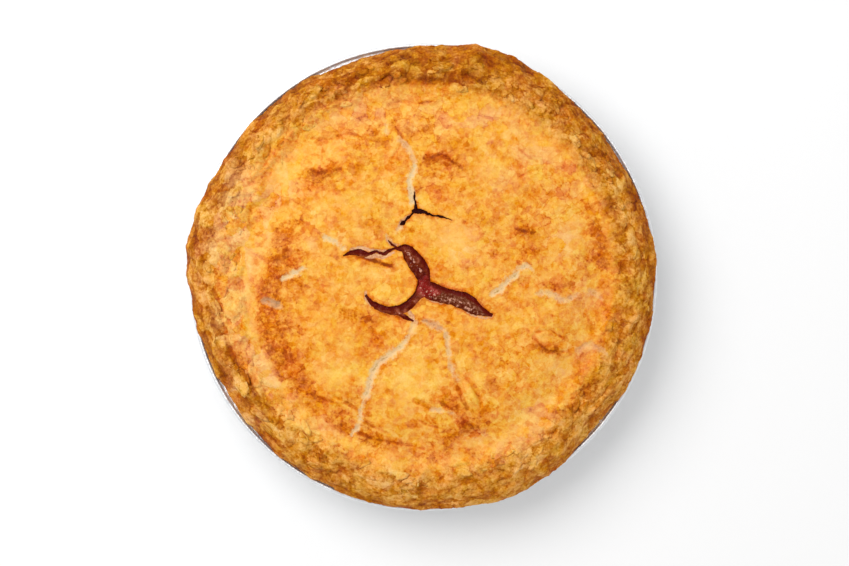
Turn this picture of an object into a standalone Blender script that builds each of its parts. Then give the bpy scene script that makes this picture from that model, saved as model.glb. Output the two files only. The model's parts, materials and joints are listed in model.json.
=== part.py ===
"""A double-crust strawberry rhubarb pie, baked and served in its round foil tin.

Three solids, +Z up, origin on the table at the middle of the tin:

    tin      pressed foil dish: flat base, flared wall, flat flange and a rolled bead round its edge
    crust    one piece of pastry: it lines the tin, folds into a craggy rim on the flange and closes as a lid
             that has torn open in the middle
    filling  cooked fruit, which fills the pastry and swells up into the tears

Sizes here are in millimetres, and new_object turns them into metres. Every round surface is built the same
way: a half section gives rings, each ring gets as many points as its own length needs, and neighbouring
rings are zipped together with triangles.
"""

import math

import bmesh
import bpy
from mathutils import Matrix, Vector, noise

METRES = 0.001  # in a millimetre

# ---- Foil tin: a nine inch pie dish ----
RIM_RADIUS = 122.2  # outside of the rolled bead
MOUTH_RADIUS = 111.0  # where the wall turns out into the flange
BASE_RADIUS = 91.5
FLANGE_HEIGHT = 30.5  # top of the flange above the table
FOIL = 0.5
BEAD_RADIUS = 1.15
FOLD_RADIUS = 2.4  # the bend between base and wall
FOLD_PIECES = 3
BEAD_PIECES = 7
TIN_SEGMENTS = 60

# ---- Pastry ----
GAP = 0.4  # clearance that keeps touching solids apart
LID_THICKNESS = 3.2
LINING_THICKNESS = 3.0
EDGE_RADIUS = 121.0  # mean reach of the pastry's outer edge
UNDER_EDGE = FLANGE_HEIGHT + 1.4  # the overhanging edge clears the bead
SEAT_RADIUS = 114.8  # inside this the rim lies on the flange
RIM_START = 97  # the smooth lid ends here and the craggy rim begins
LID_PITCH = 6.2  # distance between neighbouring points
RIM_PITCH = 3.6
UNDER_PITCH = 6
LINING_PITCH = 14
HOLLOW_SEGMENTS = 40
ROW_SHARE = math.sqrt(3) / 2  # distance between rings of even triangles, as a share of their pitch

# Half section of the pie's upper side, centre to edge, as (radius, height): a low dome, its shoulder,
# the moat inside the rim, the rim's crest, and the fall to the edge.
TOP_SECTION = [
    (0, 46.6), (25, 46.6), (50, 46.1), (68, 45.0), (80, 43.0), (87, 41.2), (92, 40.6),
    (97, 41.4), (103, 43.0), (109, 42.7), (114.5, 40.4), (118.8, 36.9), (121.0, 34.2),
]
# Rings that close the pastry's edge below the section: down the lip, and back under it.
LIP_SECTION = [(119.0, 36.6), (121.0, 34.0), (119.6, UNDER_EDGE)]
# Where the edge swells out over the bead or draws back from it: (bearing in degrees, half width, reach).
EDGE_SWELLS = [(72, 13, 3.1), (172, 14, 3.4), (294, 11, 2.6), (103, 12, -2.6), (212, 13, -1.9), (317, 8, -1.9)]
# The room inside the pastry: radii of its rings under the lid, where its roof starts to come down to the
# seam in the rim, how far it drops there, and where that seam is.
ROOM_RADII = [0, 25, 50, 70, 84, 95, 102.5]
ROOM_FALL = (92, 102, 2.2)
SEAM_HEIGHT = 34.5
SEAM_INSET = 2.6

# ---- Tears in the lid ----
# The main tear runs round a disc of pastry, the flap: (bearing in degrees, width of the gap there).
FLAP_CENTRE = Vector((-17.3, -0.5))
FLAP_RADIUS = 14.6
FLAP_GAP = [(79, 1.2), (66, 4.6), (50, 5.3), (34, 5.4), (15, 6.3), (0, 6.4), (-20, 7.0), (-38, 4.6),
            (-60, 5.2), (-76, 5.0), (-95, 4.3), (-112, 3.2), (-128, 2.2), (-144, 0.6)]
# The other tears are strokes: (x, y, half width) along the middle of each.
TEARS = {
    "tear_east": [(-1, -4.5, 3.5), (4, -6.8, 4.2), (10, -9.0, 4.1), (16, -10.6, 4.1), (22, -12.2, 4.8),
                  (27, -14.8, 4.5), (31, -17.2, 3.1), (35.8, -19.2, 0.8)],
    "tear_west": [(-41.3, 11.2, 0.4), (-37, 12.3, 1.1), (-33, 12.4, 1.5), (-29.5, 11.7, 1.2), (-27, 12.2, 0.7),
                  (-24, 13.0, 0.7), (-20.7, 11.9, 0.7), (-18, 13.4, 0.9), (-14.2, 14.7, 0.7)],
    "tear_foot": [(-14, -18.6, 1.0), (-10.5, -20.2, 1.4), (-7.6, -21.6, 1.0), (-5.2, -23, 0.4)],
    "tear_spur": [(-18.2, 19, 0.3), (-16.4, 17, 0.6), (-13.6, 15.2, 0.7)],
    "star_east": [(-5.6, 34, 0.9), (-2.6, 33.9, 1.1), (0.4, 33.5, 0.7), (4.6, 31.9, 0.5), (8.6, 31.2, 0.4),
                  (12, 30.4, 0.4), (15, 29.2, 0.25)],
    "star_north": [(-3.6, 33.4, 1.0), (-3.8, 35.6, 0.8), (-4.2, 38.2, 0.25)],
    "star_west": [(-3.4, 34, 0.8), (-7, 31, 0.5), (-9.6, 28.5, 0.6), (-11.9, 27.4, 0.4)],
}
NARROWEST_TEAR = 0.12  # half width that a stroke never goes below
TEAR_CUT = (30, 60)  # heights between which the lid is cut through
# The fruit swells up into the two widest tears: how far its top stays below the lid, and from its sides.
FRUIT_DEPTH = 1.45
FRUIT_CLEARANCE = 0.7
FRUIT_ROOT = 38  # height, inside the filling, that the swells grow from

# ---- Shallow cracks, where the skin split and paler dough shows, drawn as strokes too ----
CRACK_DEPTH = 0.9
CRACK_LIFT = 1.2  # how far their cutters stand above the lid
CRACKS = {
    "crack_south_west": [(-6.5, -27, 0.7), (-9.5, -33, 1.3), (-19, -40, 1.4), (-25, -47, 1.3), (-28, -56, 1.3),
                         (-31, -65, 1.1), (-33, -74, 1.2), (-35.5, -82, 0.8)],
    "crack_north": [(-4.6, 40.5, 0.9), (-6.8, 47.5, 1.6), (-6, 53, 1.6), (-4.6, 58.5, 1.0), (-7.5, 63.5, 0.9),
                    (-10.5, 68, 0.7)],
    "crack_south": [(-0.5, -22.8, 0.9), (5, -24.5, 1.4), (10.5, -27.4, 1.1), (12.8, -34, 0.8), (14, -43, 0.8),
                    (17, -51.5, 0.6)],
    "crack_east": [(35.5, -8.5, 1.2), (41, -4, 1.5), (46.5, 1, 1.4), (52, 4.6, 1.3), (57.5, 5.2, 0.9)],
    "crack_far_east": [(55, -8.6, 0.7), (63, -9.4, 0.9), (70, -11.2, 1.0), (77, -11.6, 1.0), (83, -9, 0.7)],
    "crack_west": [(-73.5, -1.2, 0.8), (-68.5, 0.6, 1.3), (-63, 3.6, 0.9), (-58.5, 0.4, 0.4), (-55, -2.4, 0.3)],
}

# ---- Raised folds and blisters: (x, y, length, width, bearing of the long side in degrees, height) ----
BLISTERS = {
    "blister_fold": (24.4, -60, 17, 6.5, -61, 1.5),
    "blister_north": (10, 61, 20, 7, -6, 1.2),
    "blister_east": (53, 23.5, 14, 6, -8, 1.2),
    "blister_south_east": (66, -37.5, 15, 7, -8, 1.1),
    "blister_north_west": (-50, 54.5, 17, 6, 4, 1.1),
}
BLISTER_ROOT = 3.0  # half height of the ellipsoid that each is the top of


# ---- Helpers ----


def clear_scene():
    for obj in list(bpy.data.objects):
        bpy.data.objects.remove(obj)


def paint(name, colour, roughness, metallic=0.0):
    """A plain Principled material; colour is linear."""
    material = bpy.data.materials.new(name)
    material.use_nodes = True
    shader = material.node_tree.nodes["Principled BSDF"]
    shader.inputs["Base Color"].default_value = (*colour, 1.0)
    shader.inputs["Roughness"].default_value = roughness
    shader.inputs["Metallic"].default_value = metallic
    material.diffuse_color = (*colour, 1.0)
    return material


def new_object(name, bm, collection=None):
    """Turns a mesh in millimetres into an object in metres. In a collection of helpers it is hidden,
    because it only shapes others."""
    bm.transform(Matrix.Scale(METRES, 4))
    mesh = bpy.data.meshes.new(name)
    bm.to_mesh(mesh)
    bm.free()
    obj = bpy.data.objects.new(name, mesh)
    (collection or bpy.context.scene.collection).objects.link(obj)
    if collection:
        obj.hide_render = True
        obj.display_type = "WIRE"
    return obj


def helpers(name):
    collection = bpy.data.collections.new(name)
    bpy.context.scene.collection.children.link(collection)
    return collection


def ramp(low, high, value):
    """0 below low, 1 above high, and a smooth climb between."""
    t = min(1.0, max(0.0, (value - low) / (high - low)))
    return t * t * (3 - 2 * t)


def ray(bearing):
    """Unit vector towards a bearing in radians."""
    return Vector((math.cos(bearing), math.sin(bearing)))


def smooth_curve(points, step):
    """Points about every step along the Catmull-Rom curve through the given points, of any dimension."""
    points = [Vector(p) for p in points]
    padded = [2 * points[0] - points[1], *points, 2 * points[-1] - points[-2]]
    curve = []
    for a, b, c, d in zip(padded, padded[1:], padded[2:], padded[3:]):
        pieces = max(1, round((c - b).length / step))
        for k in range(pieces):
            t = k / pieces
            curve.append(0.5 * (2 * b + (c - a) * t + (2 * a - 5 * b + 4 * c - d) * t ** 2
                                + (3 * b - a - 3 * c + d) * t ** 3))
    return [*curve, points[-1]]


# ---- The pastry's surface ----

TOP_CURVE = smooth_curve(TOP_SECTION, 1.0)


def section_height(radius):
    """Height of the pie's upper side at that radius, before any relief."""
    for (r0, z0), (r1, z1) in zip(TOP_CURVE, TOP_CURVE[1:]):
        if radius <= r1:
            return z0 + (z1 - z0) * max(0.0, radius - r0) / (r1 - r0)
    return TOP_CURVE[-1].y


def lid_relief(x, y):
    """Gentle heave of the lid, and its sag beside the main tear."""
    broad = noise.noise(Vector((x, y, 31)) / 26)
    fine = noise.noise(Vector((x, y, 17)) / 9)
    sag = math.exp(-((x + 2) ** 2 + (y + 4) ** 2) / 24 ** 2)
    return 0.9 * broad + 0.35 * fine - 0.9 * sag


def rim_crags(x, y, z):
    """The rough, flaky skin of the rim: sharp ridges, and the steps where one flake ends on the next."""
    place = Vector((x, y, z))
    ridge = 1 - 3.2 * abs(noise.noise(place / 9))
    flake = noise.cell(place / 8 + Vector((0.5, 0.3, 0.2)))
    lump = noise.noise(place / 17 + Vector((3, 7, 1)))
    return ridge + flake + 1.3 * lump - 0.9


def lid_height(x, y):
    return section_height(math.hypot(x, y)) + lid_relief(x, y)


def edge_swell(bearing):
    """How far the pastry's edge reaches past EDGE_RADIUS in that direction."""
    reach = 0.0
    for centre, half_width, height in EDGE_SWELLS:
        away = (math.degrees(bearing) - centre + 180) % 360 - 180
        reach += height * math.exp(-((away / half_width) ** 2))
    return reach + 0.6 * noise.noise(Vector((*(6 * ray(bearing)), 0.4)))


# ---- Closed surfaces from rings ----


def zip_rings(bm, ring, next_ring):
    """Fills the band between two closed rings, each (vertices, phase), stepping along whichever lags behind."""
    (a, phase_a), (b, phase_b) = ring, next_ring
    i = j = 0
    while i < len(a) or j < len(b):
        b_lags = (j + 1 + phase_b) / len(b) <= (i + 1 + phase_a) / len(a)
        if (b_lags and j < len(b)) or i >= len(a):
            triangle = (a[i % len(a)], b[j % len(b)], b[(j + 1) % len(b)])
            j += 1
        else:
            triangle = (a[i % len(a)], b[j % len(b)], a[(i + 1) % len(a)])
            i += 1
        if len(set(triangle)) == 3:
            bm.faces.new(triangle)


def ringed_mesh(stations, place):
    """A closed mesh from (radius, height, count) stations, top centre to bottom centre. Every other ring is
    turned by half a step. place(index, radius, height, bearing) gives each point's position."""
    bm = bmesh.new()
    rings = []
    for index, (radius, height, count) in enumerate(stations):
        phase = 0.5 * (index % 2) if count > 1 else 0.0
        bearings = [2 * math.pi * (k + phase) / count for k in range(count)]
        rings.append(([bm.verts.new(place(index, radius, height, b)) for b in bearings], phase))
    for ring, next_ring in zip(rings, rings[1:]):
        zip_rings(bm, ring, next_ring)
    for face in bm.faces:
        face.smooth = True
    return bm


def turned(index, radius, height, bearing):
    return (*(radius * ray(bearing)), height)


def ring_count(radius, pitch):
    """Points that a ring of that radius needs; a ring of no size is one point."""
    return max(8, round(2 * math.pi * radius / pitch)) if radius else 1


def evenly(section, segments):
    """Stations with the same number of points in every ring but the closing ones."""
    return [(radius, height, segments if radius else 1) for radius, height in section]


# ---- Tin ----


def wall_radius(height, inset=0.0):
    """Radius of the tin's inner wall at that height, less an inset."""
    share = (height - FOIL) / (FLANGE_HEIGHT - FOIL)
    return BASE_RADIUS + (MOUTH_RADIUS - BASE_RADIUS) * share - inset


def arc(centre, radius, start, end, pieces):
    """Points on an arc of the half section, angles in degrees."""
    angles = [math.radians(start + (end - start) * k / pieces) for k in range(pieces + 1)]
    return [(centre[0] + radius * math.cos(a), centre[1] + radius * math.sin(a)) for a in angles]


def make_tin():
    bead = (RIM_RADIUS - BEAD_RADIUS, FLANGE_HEIGHT - FOIL / 2)
    slope = math.degrees(math.atan2(MOUTH_RADIUS - BASE_RADIUS, FLANGE_HEIGHT - FOIL))
    fold = (wall_radius(FOLD_RADIUS) - FOLD_RADIUS, FOIL + FOLD_RADIUS)
    section = [
        (0, FOIL),
        *arc(fold, FOLD_RADIUS, -90, -slope, FOLD_PIECES),
        (MOUTH_RADIUS, FLANGE_HEIGHT),
        *arc(bead, BEAD_RADIUS, 160, -160, BEAD_PIECES),
        (MOUTH_RADIUS + FOIL, FLANGE_HEIGHT - FOIL),
        *arc(fold, FOLD_RADIUS + FOIL, -slope, -90, FOLD_PIECES),
        (0, 0),
    ]
    tin = new_object("tin", ringed_mesh(evenly(section, TIN_SEGMENTS), turned))
    tin.data.materials.append(paint("foil", (0.76, 0.77, 0.78), 0.3, 1.0))


# ---- Crust ----


def crust_stations():
    """Stations of the pastry's skin, and how many of them lie on its free upper side."""
    radius, rings = 0.0, []
    while radius < EDGE_RADIUS - RIM_PITCH:
        pitch = LID_PITCH if radius < RIM_START - LID_PITCH else RIM_PITCH
        rings.append((radius, section_height(radius), pitch))
        radius += ROW_SHARE * pitch
    rings += [(r, z, RIM_PITCH) for r, z in LIP_SECTION]
    free = len(rings)
    seat = FLANGE_HEIGHT + GAP
    floor = FOIL + GAP
    rings += [
        (SEAT_RADIUS + GAP, UNDER_EDGE, UNDER_PITCH),
        (SEAT_RADIUS, seat, UNDER_PITCH),
        (MOUTH_RADIUS - 1.5 * GAP, seat, UNDER_PITCH),
        (wall_radius(FLANGE_HEIGHT / 2, GAP), FLANGE_HEIGHT / 2, LINING_PITCH),
        (wall_radius(floor + FOLD_RADIUS, GAP), floor + FOLD_RADIUS, LINING_PITCH),
        (wall_radius(floor, FOLD_RADIUS), floor, LINING_PITCH),
        (BASE_RADIUS / 2, floor, 2 * LINING_PITCH),
        (0, floor, LINING_PITCH),
    ]
    return [(r, z, ring_count(r, pitch)) for r, z, pitch in rings], free


def make_crust_skin():
    stations, free = crust_stations()

    def place(index, radius, height, bearing):
        if index >= free:
            return turned(index, radius, height, bearing)
        swell = edge_swell(bearing) * ramp(RIM_START, EDGE_RADIUS - 2, radius)
        if index == free - 1:
            return turned(index, radius + swell, height, bearing)
        x, y = radius * ray(bearing)
        crag = ramp(RIM_START - 4, RIM_START + 6, radius)
        steep = ramp(EDGE_RADIUS - 9, EDGE_RADIUS, radius)
        relief = (1 - crag) * lid_relief(x, y) + crag * rim_crags(x, y, height)
        return turned(index, radius + swell + 0.7 * steep * relief, height + (1 - 0.6 * steep) * relief, bearing)

    return ringed_mesh(stations, place)


def room_stations(inset):
    """The room inside the pastry, shrunk by inset: under the lid, down the lining and over the floor."""
    fall_start, fall_end, fall = ROOM_FALL
    section = []
    for radius in ROOM_RADII:
        roof = section_height(radius) - LID_THICKNESS - fall * ramp(fall_start, fall_end, radius)
        section.append((radius - inset * (radius == ROOM_RADII[-1]), roof - inset))
    lining = GAP + LINING_THICKNESS + inset
    floor = FOIL + GAP + LINING_THICKNESS + inset
    section += [
        (wall_radius(SEAM_HEIGHT, lining + SEAM_INSET), SEAM_HEIGHT),
        (wall_radius(FLANGE_HEIGHT, lining), FLANGE_HEIGHT),
        (wall_radius(FLANGE_HEIGHT / 2, lining), FLANGE_HEIGHT / 2),
        (wall_radius(floor + FOLD_RADIUS, lining), floor + FOLD_RADIUS),
        (wall_radius(floor, lining + FOLD_RADIUS), floor),
        (0, floor),
    ]
    return evenly(section, HOLLOW_SEGMENTS)


def make_crust():
    crust = new_object("crust", make_crust_skin())
    bumps = helpers("bumps")
    for name, size in BLISTERS.items():
        blister(name, *size, bumps)
    fuse(crust, bumps)
    room, tears, cracks = helpers("room"), helpers("tears"), helpers("cracks")
    new_object("hollow", ringed_mesh(room_stations(0), turned), room)
    prism("tear_flap", flap_outline(), *TEAR_CUT, tears)
    for name, stroke in TEARS.items():
        prism(name, stroke_outline(stroke), *TEAR_CUT, tears)
    for name, stroke in CRACKS.items():
        groove(name, stroke, cracks)
    for cutters in (room, tears, cracks):
        boolean(crust, "DIFFERENCE", cutters)
    crust.data.materials.append(paint("baked_pastry", (0.80, 0.36, 0.07), 0.6))


# ---- Filling ----


def make_filling():
    filling = new_object("filling", ringed_mesh(room_stations(GAP), turned))
    swells = helpers("swells")
    for name, outline in {
        "fruit_flap": flap_outline(FRUIT_CLEARANCE),
        "fruit_east": stroke_outline(TEARS["tear_east"], FRUIT_CLEARANCE),
    }.items():
        prism(name, outline, FRUIT_ROOT, lambda x, y: lid_height(x, y) - FRUIT_DEPTH, swells)
    fuse(filling, swells)
    filling.data.materials.append(paint("cooked_fruit", (0.16, 0.012, 0.012), 0.25))


# ---- Cutters and bumps ----


def stroke_frames(stroke, step):
    """The stroke's middle as (point, unit vector across it, half width)."""
    middle = smooth_curve(stroke, step)
    last = len(middle) - 1
    for k, here in enumerate(middle):
        along = (middle[min(k + 1, last)] - middle[max(k - 1, 0)]).xy.normalized()
        yield here.xy, Vector((-along.y, along.x)), here.z


def stroke_outline(stroke, inset=0.0):
    """Closed outline of a stroke, drawn in by inset."""
    left, right = [], []
    for point, across, half_width in stroke_frames(stroke, 2.8):
        reach = across * max(NARROWEST_TEAR, half_width - inset)
        left.append(point + reach)
        right.append(point - reach)
    return [*left, *reversed(right)]


def flap_outline(inset=0.0):
    """Closed outline of the gap round the flap, drawn in by inset."""
    inner, outer = [], []
    for bearing, width in smooth_curve(FLAP_GAP, 7):
        squeeze = min(inset, 0.45 * width)
        inner.append(FLAP_CENTRE + ray(math.radians(bearing)) * (FLAP_RADIUS + squeeze))
        outer.append(FLAP_CENTRE + ray(math.radians(bearing)) * (FLAP_RADIUS + width - squeeze))
    return [*inner, *reversed(outer)]


def prism(name, outline, bottom, top, collection):
    """An upright prism over an outline; top is a height, or a function of x and y."""
    bm = bmesh.new()
    face = bm.faces.new([bm.verts.new((*point, bottom)) for point in outline])
    lifted = bmesh.ops.extrude_face_region(bm, geom=[face])["geom"]
    for vert in (item for item in lifted if isinstance(item, bmesh.types.BMVert)):
        vert.co.z = top(vert.co.x, vert.co.y) if callable(top) else top
    bmesh.ops.triangulate(bm, faces=[f for f in bm.faces if len(f.verts) > 4])
    bmesh.ops.recalc_face_normals(bm, faces=bm.faces)
    return new_object(name, bm, collection)


def groove(name, stroke, collection):
    """A V-shaped cutter that follows the lid along a stroke."""
    bm = bmesh.new()
    profiles = []
    for point, across, half_width in stroke_frames(stroke, 4.5):
        surface = lid_height(*point)
        reach = across * half_width * (1 + CRACK_LIFT / CRACK_DEPTH)
        top = surface + CRACK_LIFT
        corners = [(*(point + reach), top), (*(point - reach), top), (*point, surface - CRACK_DEPTH)]
        profiles.append([bm.verts.new(corner) for corner in corners])
    for one, two in zip(profiles, profiles[1:]):
        for a, b in ((0, 1), (1, 2), (2, 0)):
            bm.faces.new((one[a], one[b], two[b]))
            bm.faces.new((one[a], two[b], two[a]))
    bm.faces.new(profiles[0])
    bm.faces.new(profiles[-1])
    bmesh.ops.recalc_face_normals(bm, faces=bm.faces)
    return new_object(name, bm, collection)


def blister(name, x, y, length, width, bearing, height, collection):
    """A low bump: an ellipsoid sunk in the lid until it stands up by its height."""
    bm = bmesh.new()
    bmesh.ops.create_uvsphere(bm, u_segments=12, v_segments=8, radius=1)
    centre = Vector((x, y, lid_height(x, y) + height - BLISTER_ROOT))
    turn = Matrix.Rotation(math.radians(bearing), 4, "Z")
    size = Matrix.Diagonal((length / 2, width / 2, BLISTER_ROOT, 1))
    bm.transform(Matrix.Translation(centre) @ turn @ size)
    return new_object(name, bm, collection)


def boolean(obj, operation, collection):
    modifier = obj.modifiers.new(collection.name, "BOOLEAN")
    modifier.operation = operation
    modifier.operand_type = "COLLECTION"
    modifier.collection = collection
    modifier.solver = "EXACT"


def fuse(obj, collection):
    """Joins the collection's objects to obj for good, and removes them."""
    boolean(obj, "UNION", collection)
    with bpy.context.temp_override(object=obj, active_object=obj):
        bpy.ops.object.modifier_apply(modifier=collection.name)
    for part in list(collection.objects):
        bpy.data.objects.remove(part)
    bpy.data.collections.remove(collection)


clear_scene()
make_tin()
make_crust()
make_filling()
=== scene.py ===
# %% [markdown]
# # A strawberry rhubarb pie, baked in a foil tin
# The solids of this pie are already made, and they say where everything goes. This lesson dresses them: a pastry
# crust with its browning, tears and flakes, the cooked fruit that shows through, and the pressed foil tin.
# Start by loading the solids. The tin's box gives its radius and the height of its bead.

# %% Load the frame
import json
import math
import time

import bmesh
import bpy
import numpy as np
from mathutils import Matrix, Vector, kdtree, noise

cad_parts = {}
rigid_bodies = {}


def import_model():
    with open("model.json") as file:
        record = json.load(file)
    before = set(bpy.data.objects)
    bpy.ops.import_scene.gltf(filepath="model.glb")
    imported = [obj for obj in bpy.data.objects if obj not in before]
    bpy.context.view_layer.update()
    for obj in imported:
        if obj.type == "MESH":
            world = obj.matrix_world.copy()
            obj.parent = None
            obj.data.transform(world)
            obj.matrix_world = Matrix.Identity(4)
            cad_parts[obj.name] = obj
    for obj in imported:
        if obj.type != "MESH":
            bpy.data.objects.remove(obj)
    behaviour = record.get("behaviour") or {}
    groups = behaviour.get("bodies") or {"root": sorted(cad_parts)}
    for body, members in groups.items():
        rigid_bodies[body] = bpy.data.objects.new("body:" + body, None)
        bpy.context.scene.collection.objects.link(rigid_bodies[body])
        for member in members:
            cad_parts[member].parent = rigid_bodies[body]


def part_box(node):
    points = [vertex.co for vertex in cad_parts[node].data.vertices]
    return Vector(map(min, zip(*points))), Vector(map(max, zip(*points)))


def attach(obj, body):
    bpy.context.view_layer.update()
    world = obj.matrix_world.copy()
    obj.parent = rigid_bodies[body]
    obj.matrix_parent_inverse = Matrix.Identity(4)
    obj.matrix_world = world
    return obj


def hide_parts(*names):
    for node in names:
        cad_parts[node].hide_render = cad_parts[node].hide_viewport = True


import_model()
started = time.time()
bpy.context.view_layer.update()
MM = 0.001
NOISE_SEED = 7
noise.seed_set(NOISE_SEED)  # without it, noise vectors start from the clock, and each run gives other flakes
tin_low, tin_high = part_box("tin")
crust_low, crust_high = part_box("crust")
filling_low, filling_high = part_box("filling")
RIM_RADIUS = (tin_high.x - tin_low.x) / 2 / MM
BEAD_TOP = tin_high.z / MM
print(f"tin {2 * RIM_RADIUS:.1f} mm across, bead top at {BEAD_TOP:.1f} mm")
print(f"crust from {crust_low.z / MM:.1f} to {crust_high.z / MM:.1f} mm high")
print(f"filling from {filling_low.z / MM:.1f} to {filling_high.z / MM:.1f} mm high")

# %% [markdown]
# ## The camera
# Looking straight down shows the whole lid of a pie. A long lens a metre and a half up keeps the rim from leaning
# outwards. Sizes in this script are in millimetres, and MM turns them into metres.

# %% Camera
FIELD_WIDTH = 443.4  # millimetres of table across the camera's view, at the height of the rim
LENS = 120
SENSOR = 36
AIM = (0.6, -3.1)  # the place on the table that the camera stands over, in millimetres
FAR_END = 20  # metres, past which the camera sees nothing
camera_data = bpy.data.cameras.new("camera")
camera_data.lens = LENS
camera_data.sensor_width = SENSOR
camera_data.clip_end = FAR_END
camera = bpy.data.objects.new("camera", camera_data)
camera_height = FIELD_WIDTH * LENS / SENSOR + BEAD_TOP
camera.location = (AIM[0] * MM, AIM[1] * MM, camera_height * MM)
bpy.context.scene.collection.objects.link(camera)
bpy.context.scene.camera = camera
print(f"camera {camera_height / 1000:.2f} m above the table")

# %% [markdown]
# ## Floor and light
# A plain pale floor bounces light up under the rim. One wide, soft lamp stands to the upper left, as a window
# would, and the pale surroundings fill the shadows.


# %% Floor, lamp and surroundings
def plain_paint(name, colour, roughness):
    """A material of one colour and roughness."""
    material = bpy.data.materials.new(name)
    material.use_nodes = True
    shader = material.node_tree.nodes["Principled BSDF"]
    shader.inputs["Base Color"].default_value = (*colour, 1)
    shader.inputs["Roughness"].default_value = roughness
    return material


HALF_FLOOR = 3.0
FLOOR_WHITE, FLOOR_ROUGHNESS = 0.96, 0.7
floor_mesh = bpy.data.meshes.new("floor")
corners = [(x * HALF_FLOOR, y * HALF_FLOOR, 0) for x, y in ((-1, -1), (1, -1), (1, 1), (-1, 1))]
floor_mesh.from_pydata(corners, [], [(0, 1, 2, 3)])
floor = bpy.data.objects.new("floor", floor_mesh)
floor_mesh.materials.append(plain_paint("pale_floor", [FLOOR_WHITE] * 3, FLOOR_ROUGHNESS))
bpy.context.scene.collection.objects.link(floor)

LAMP_SIDE = Vector((-0.54, 0.50, 1.0)).normalized()  # towards the lamp
LAMP_DISTANCE, LAMP_WIDTH = 1.9, 1.6  # metres
LAMP_POWER = 21.5
lamp_data = bpy.data.lights.new("window", "AREA")
lamp_data.shape = "DISK"
lamp_data.size = LAMP_WIDTH
lamp_data.energy = LAMP_POWER
lamp = bpy.data.objects.new("window", lamp_data)
lamp.location = LAMP_SIDE * LAMP_DISTANCE
lamp.rotation_mode = "QUATERNION"
lamp.rotation_quaternion = LAMP_SIDE.to_track_quat("Z", "Y")
bpy.context.scene.collection.objects.link(lamp)

ROOM_LIGHT = 0.67
world = bpy.data.worlds.new("pale_room")
world.use_nodes = True
sky = world.node_tree.nodes["Background"].inputs
sky["Color"].default_value = (1.0, 1.0, 1.0, 1)
sky["Strength"].default_value = ROOM_LIGHT
bpy.context.scene.world = world
bpy.context.scene.view_settings.view_transform = "Standard"
print(f"lamp {LAMP_WIDTH} m wide and {LAMP_DISTANCE} m away, room light {ROOM_LIGHT}")

# %% [markdown]
# ## The shape of the pastry
# Cut a pie in half and look at the edge of the cut: a low dome, a shoulder, a moat inside the rim, the rim's crest
# and the fall to its edge. Turning that line about the middle gives the whole upper side. The line could be a
# spline object, but a list of points with a smooth curve through them is easier to read back as a height.

# %% The half section
EDGE_RADIUS = 121.0
RIM_START = 97.0
FLANGE_TOP = 30.5
UNDER_EDGE = 31.9
TOP_SECTION = [
    (0, 46.6), (25, 46.6), (50, 46.1), (68, 45.0), (80, 43.0), (87, 41.2), (92, 40.6),
    (97, 41.4), (103, 43.0), (109, 42.7), (114.5, 40.4), (118.8, 36.9), (121.0, 34.2),
]
LIP_SECTION = [(121.0, 34.2), (121.3, 33.2), (120.8, 32.3), (119.6, UNDER_EDGE)]


def smooth_curve(points, step):
    """Points about every step along the Catmull-Rom curve through the given points."""
    points = [Vector(p) for p in points]
    padded = [2 * points[0] - points[1], *points, 2 * points[-1] - points[-2]]
    curve = []
    for a, b, c, d in zip(padded, padded[1:], padded[2:], padded[3:]):
        pieces = max(1, round((c - b).length / step))
        for k in range(pieces):
            t = k / pieces
            curve.append(0.5 * (2 * b + (c - a) * t + (2 * a - 5 * b + 4 * c - d) * t ** 2
                                + (3 * b - a - 3 * c + d) * t ** 3))
    return [*curve, points[-1]]


top_line = np.array([tuple(p) for p in smooth_curve(TOP_SECTION, 1.0)])


def section_height(radius):
    """Height of the upper side at each radius, before any relief."""
    return np.interp(radius, top_line[:, 0], top_line[:, 1])


print(f"section of {len(top_line)} points, {section_height(0):.1f} mm high in the middle")

# %% [markdown]
# ## Rings
# A turned surface with the same number of points in every ring has needles in the middle and gaps at the edge.
# Here each ring gets as many points as its own length needs, so that the triangles are all about the same size:
# just under a millimetre, which is as fine as the flakes of the crust.

# %% Rings of even triangles
LID_PITCH = 0.86
RIM_PITCH = 0.76
ROW_SHARE = math.sqrt(3) / 2  # rows of even triangles stand this much of their side apart
FEWEST = 8  # points in a ring


def ring_count(radius, pitch):
    """How many points a ring gets, so that they stand about pitch apart."""
    return max(FEWEST, round(2 * math.pi * radius / pitch)) if radius else 1


def zip_rings(start_a, count_a, phase_a, start_b, count_b, phase_b):
    """Triangles between two closed rings, always stepping along the one that lags behind."""
    triangles, i, j = [], 0, 0
    while i < count_a or j < count_b:
        b_lags = (j + 1 + phase_b) / count_b <= (i + 1 + phase_a) / count_a
        a0, b0 = start_a + i % count_a, start_b + j % count_b
        if (b_lags and j < count_b) or i >= count_a:
            j += 1
            triangle = (a0, b0, start_b + j % count_b)
        else:
            i += 1
            triangle = (a0, b0, start_a + i % count_a)
        if len(set(triangle)) == 3:
            triangles.append(triangle)
    return triangles


def ringed_mesh(name, stations):
    """A closed mesh in millimetres from (radius, height, count) stations, top centre to bottom centre."""
    points, triangles, last = [], [], None
    for index, (radius, height, count) in enumerate(stations):
        phase = 0.5 * (index % 2) if count > 1 else 0.0
        here = (len(points), count, phase)
        for k in range(count):
            bearing = 2 * math.pi * (k + phase) / count
            points.append((radius * math.cos(bearing), radius * math.sin(bearing), height))
        if last:
            triangles += zip_rings(*last, *here)
        last = here
    mesh = bpy.data.meshes.new(name)
    mesh.from_pydata(points, [], triangles)
    return mesh


def put(name, mesh):
    obj = bpy.data.objects.new(name, mesh)
    bpy.context.scene.collection.objects.link(obj)
    return obj


# %% The pastry's smooth skin
FINE_FROM = RIM_START - 8  # outside this radius the rings are closer
SLOPE_FROM = 110  # outside it the rings follow the slope, which is too steep for even steps of radius
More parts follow.
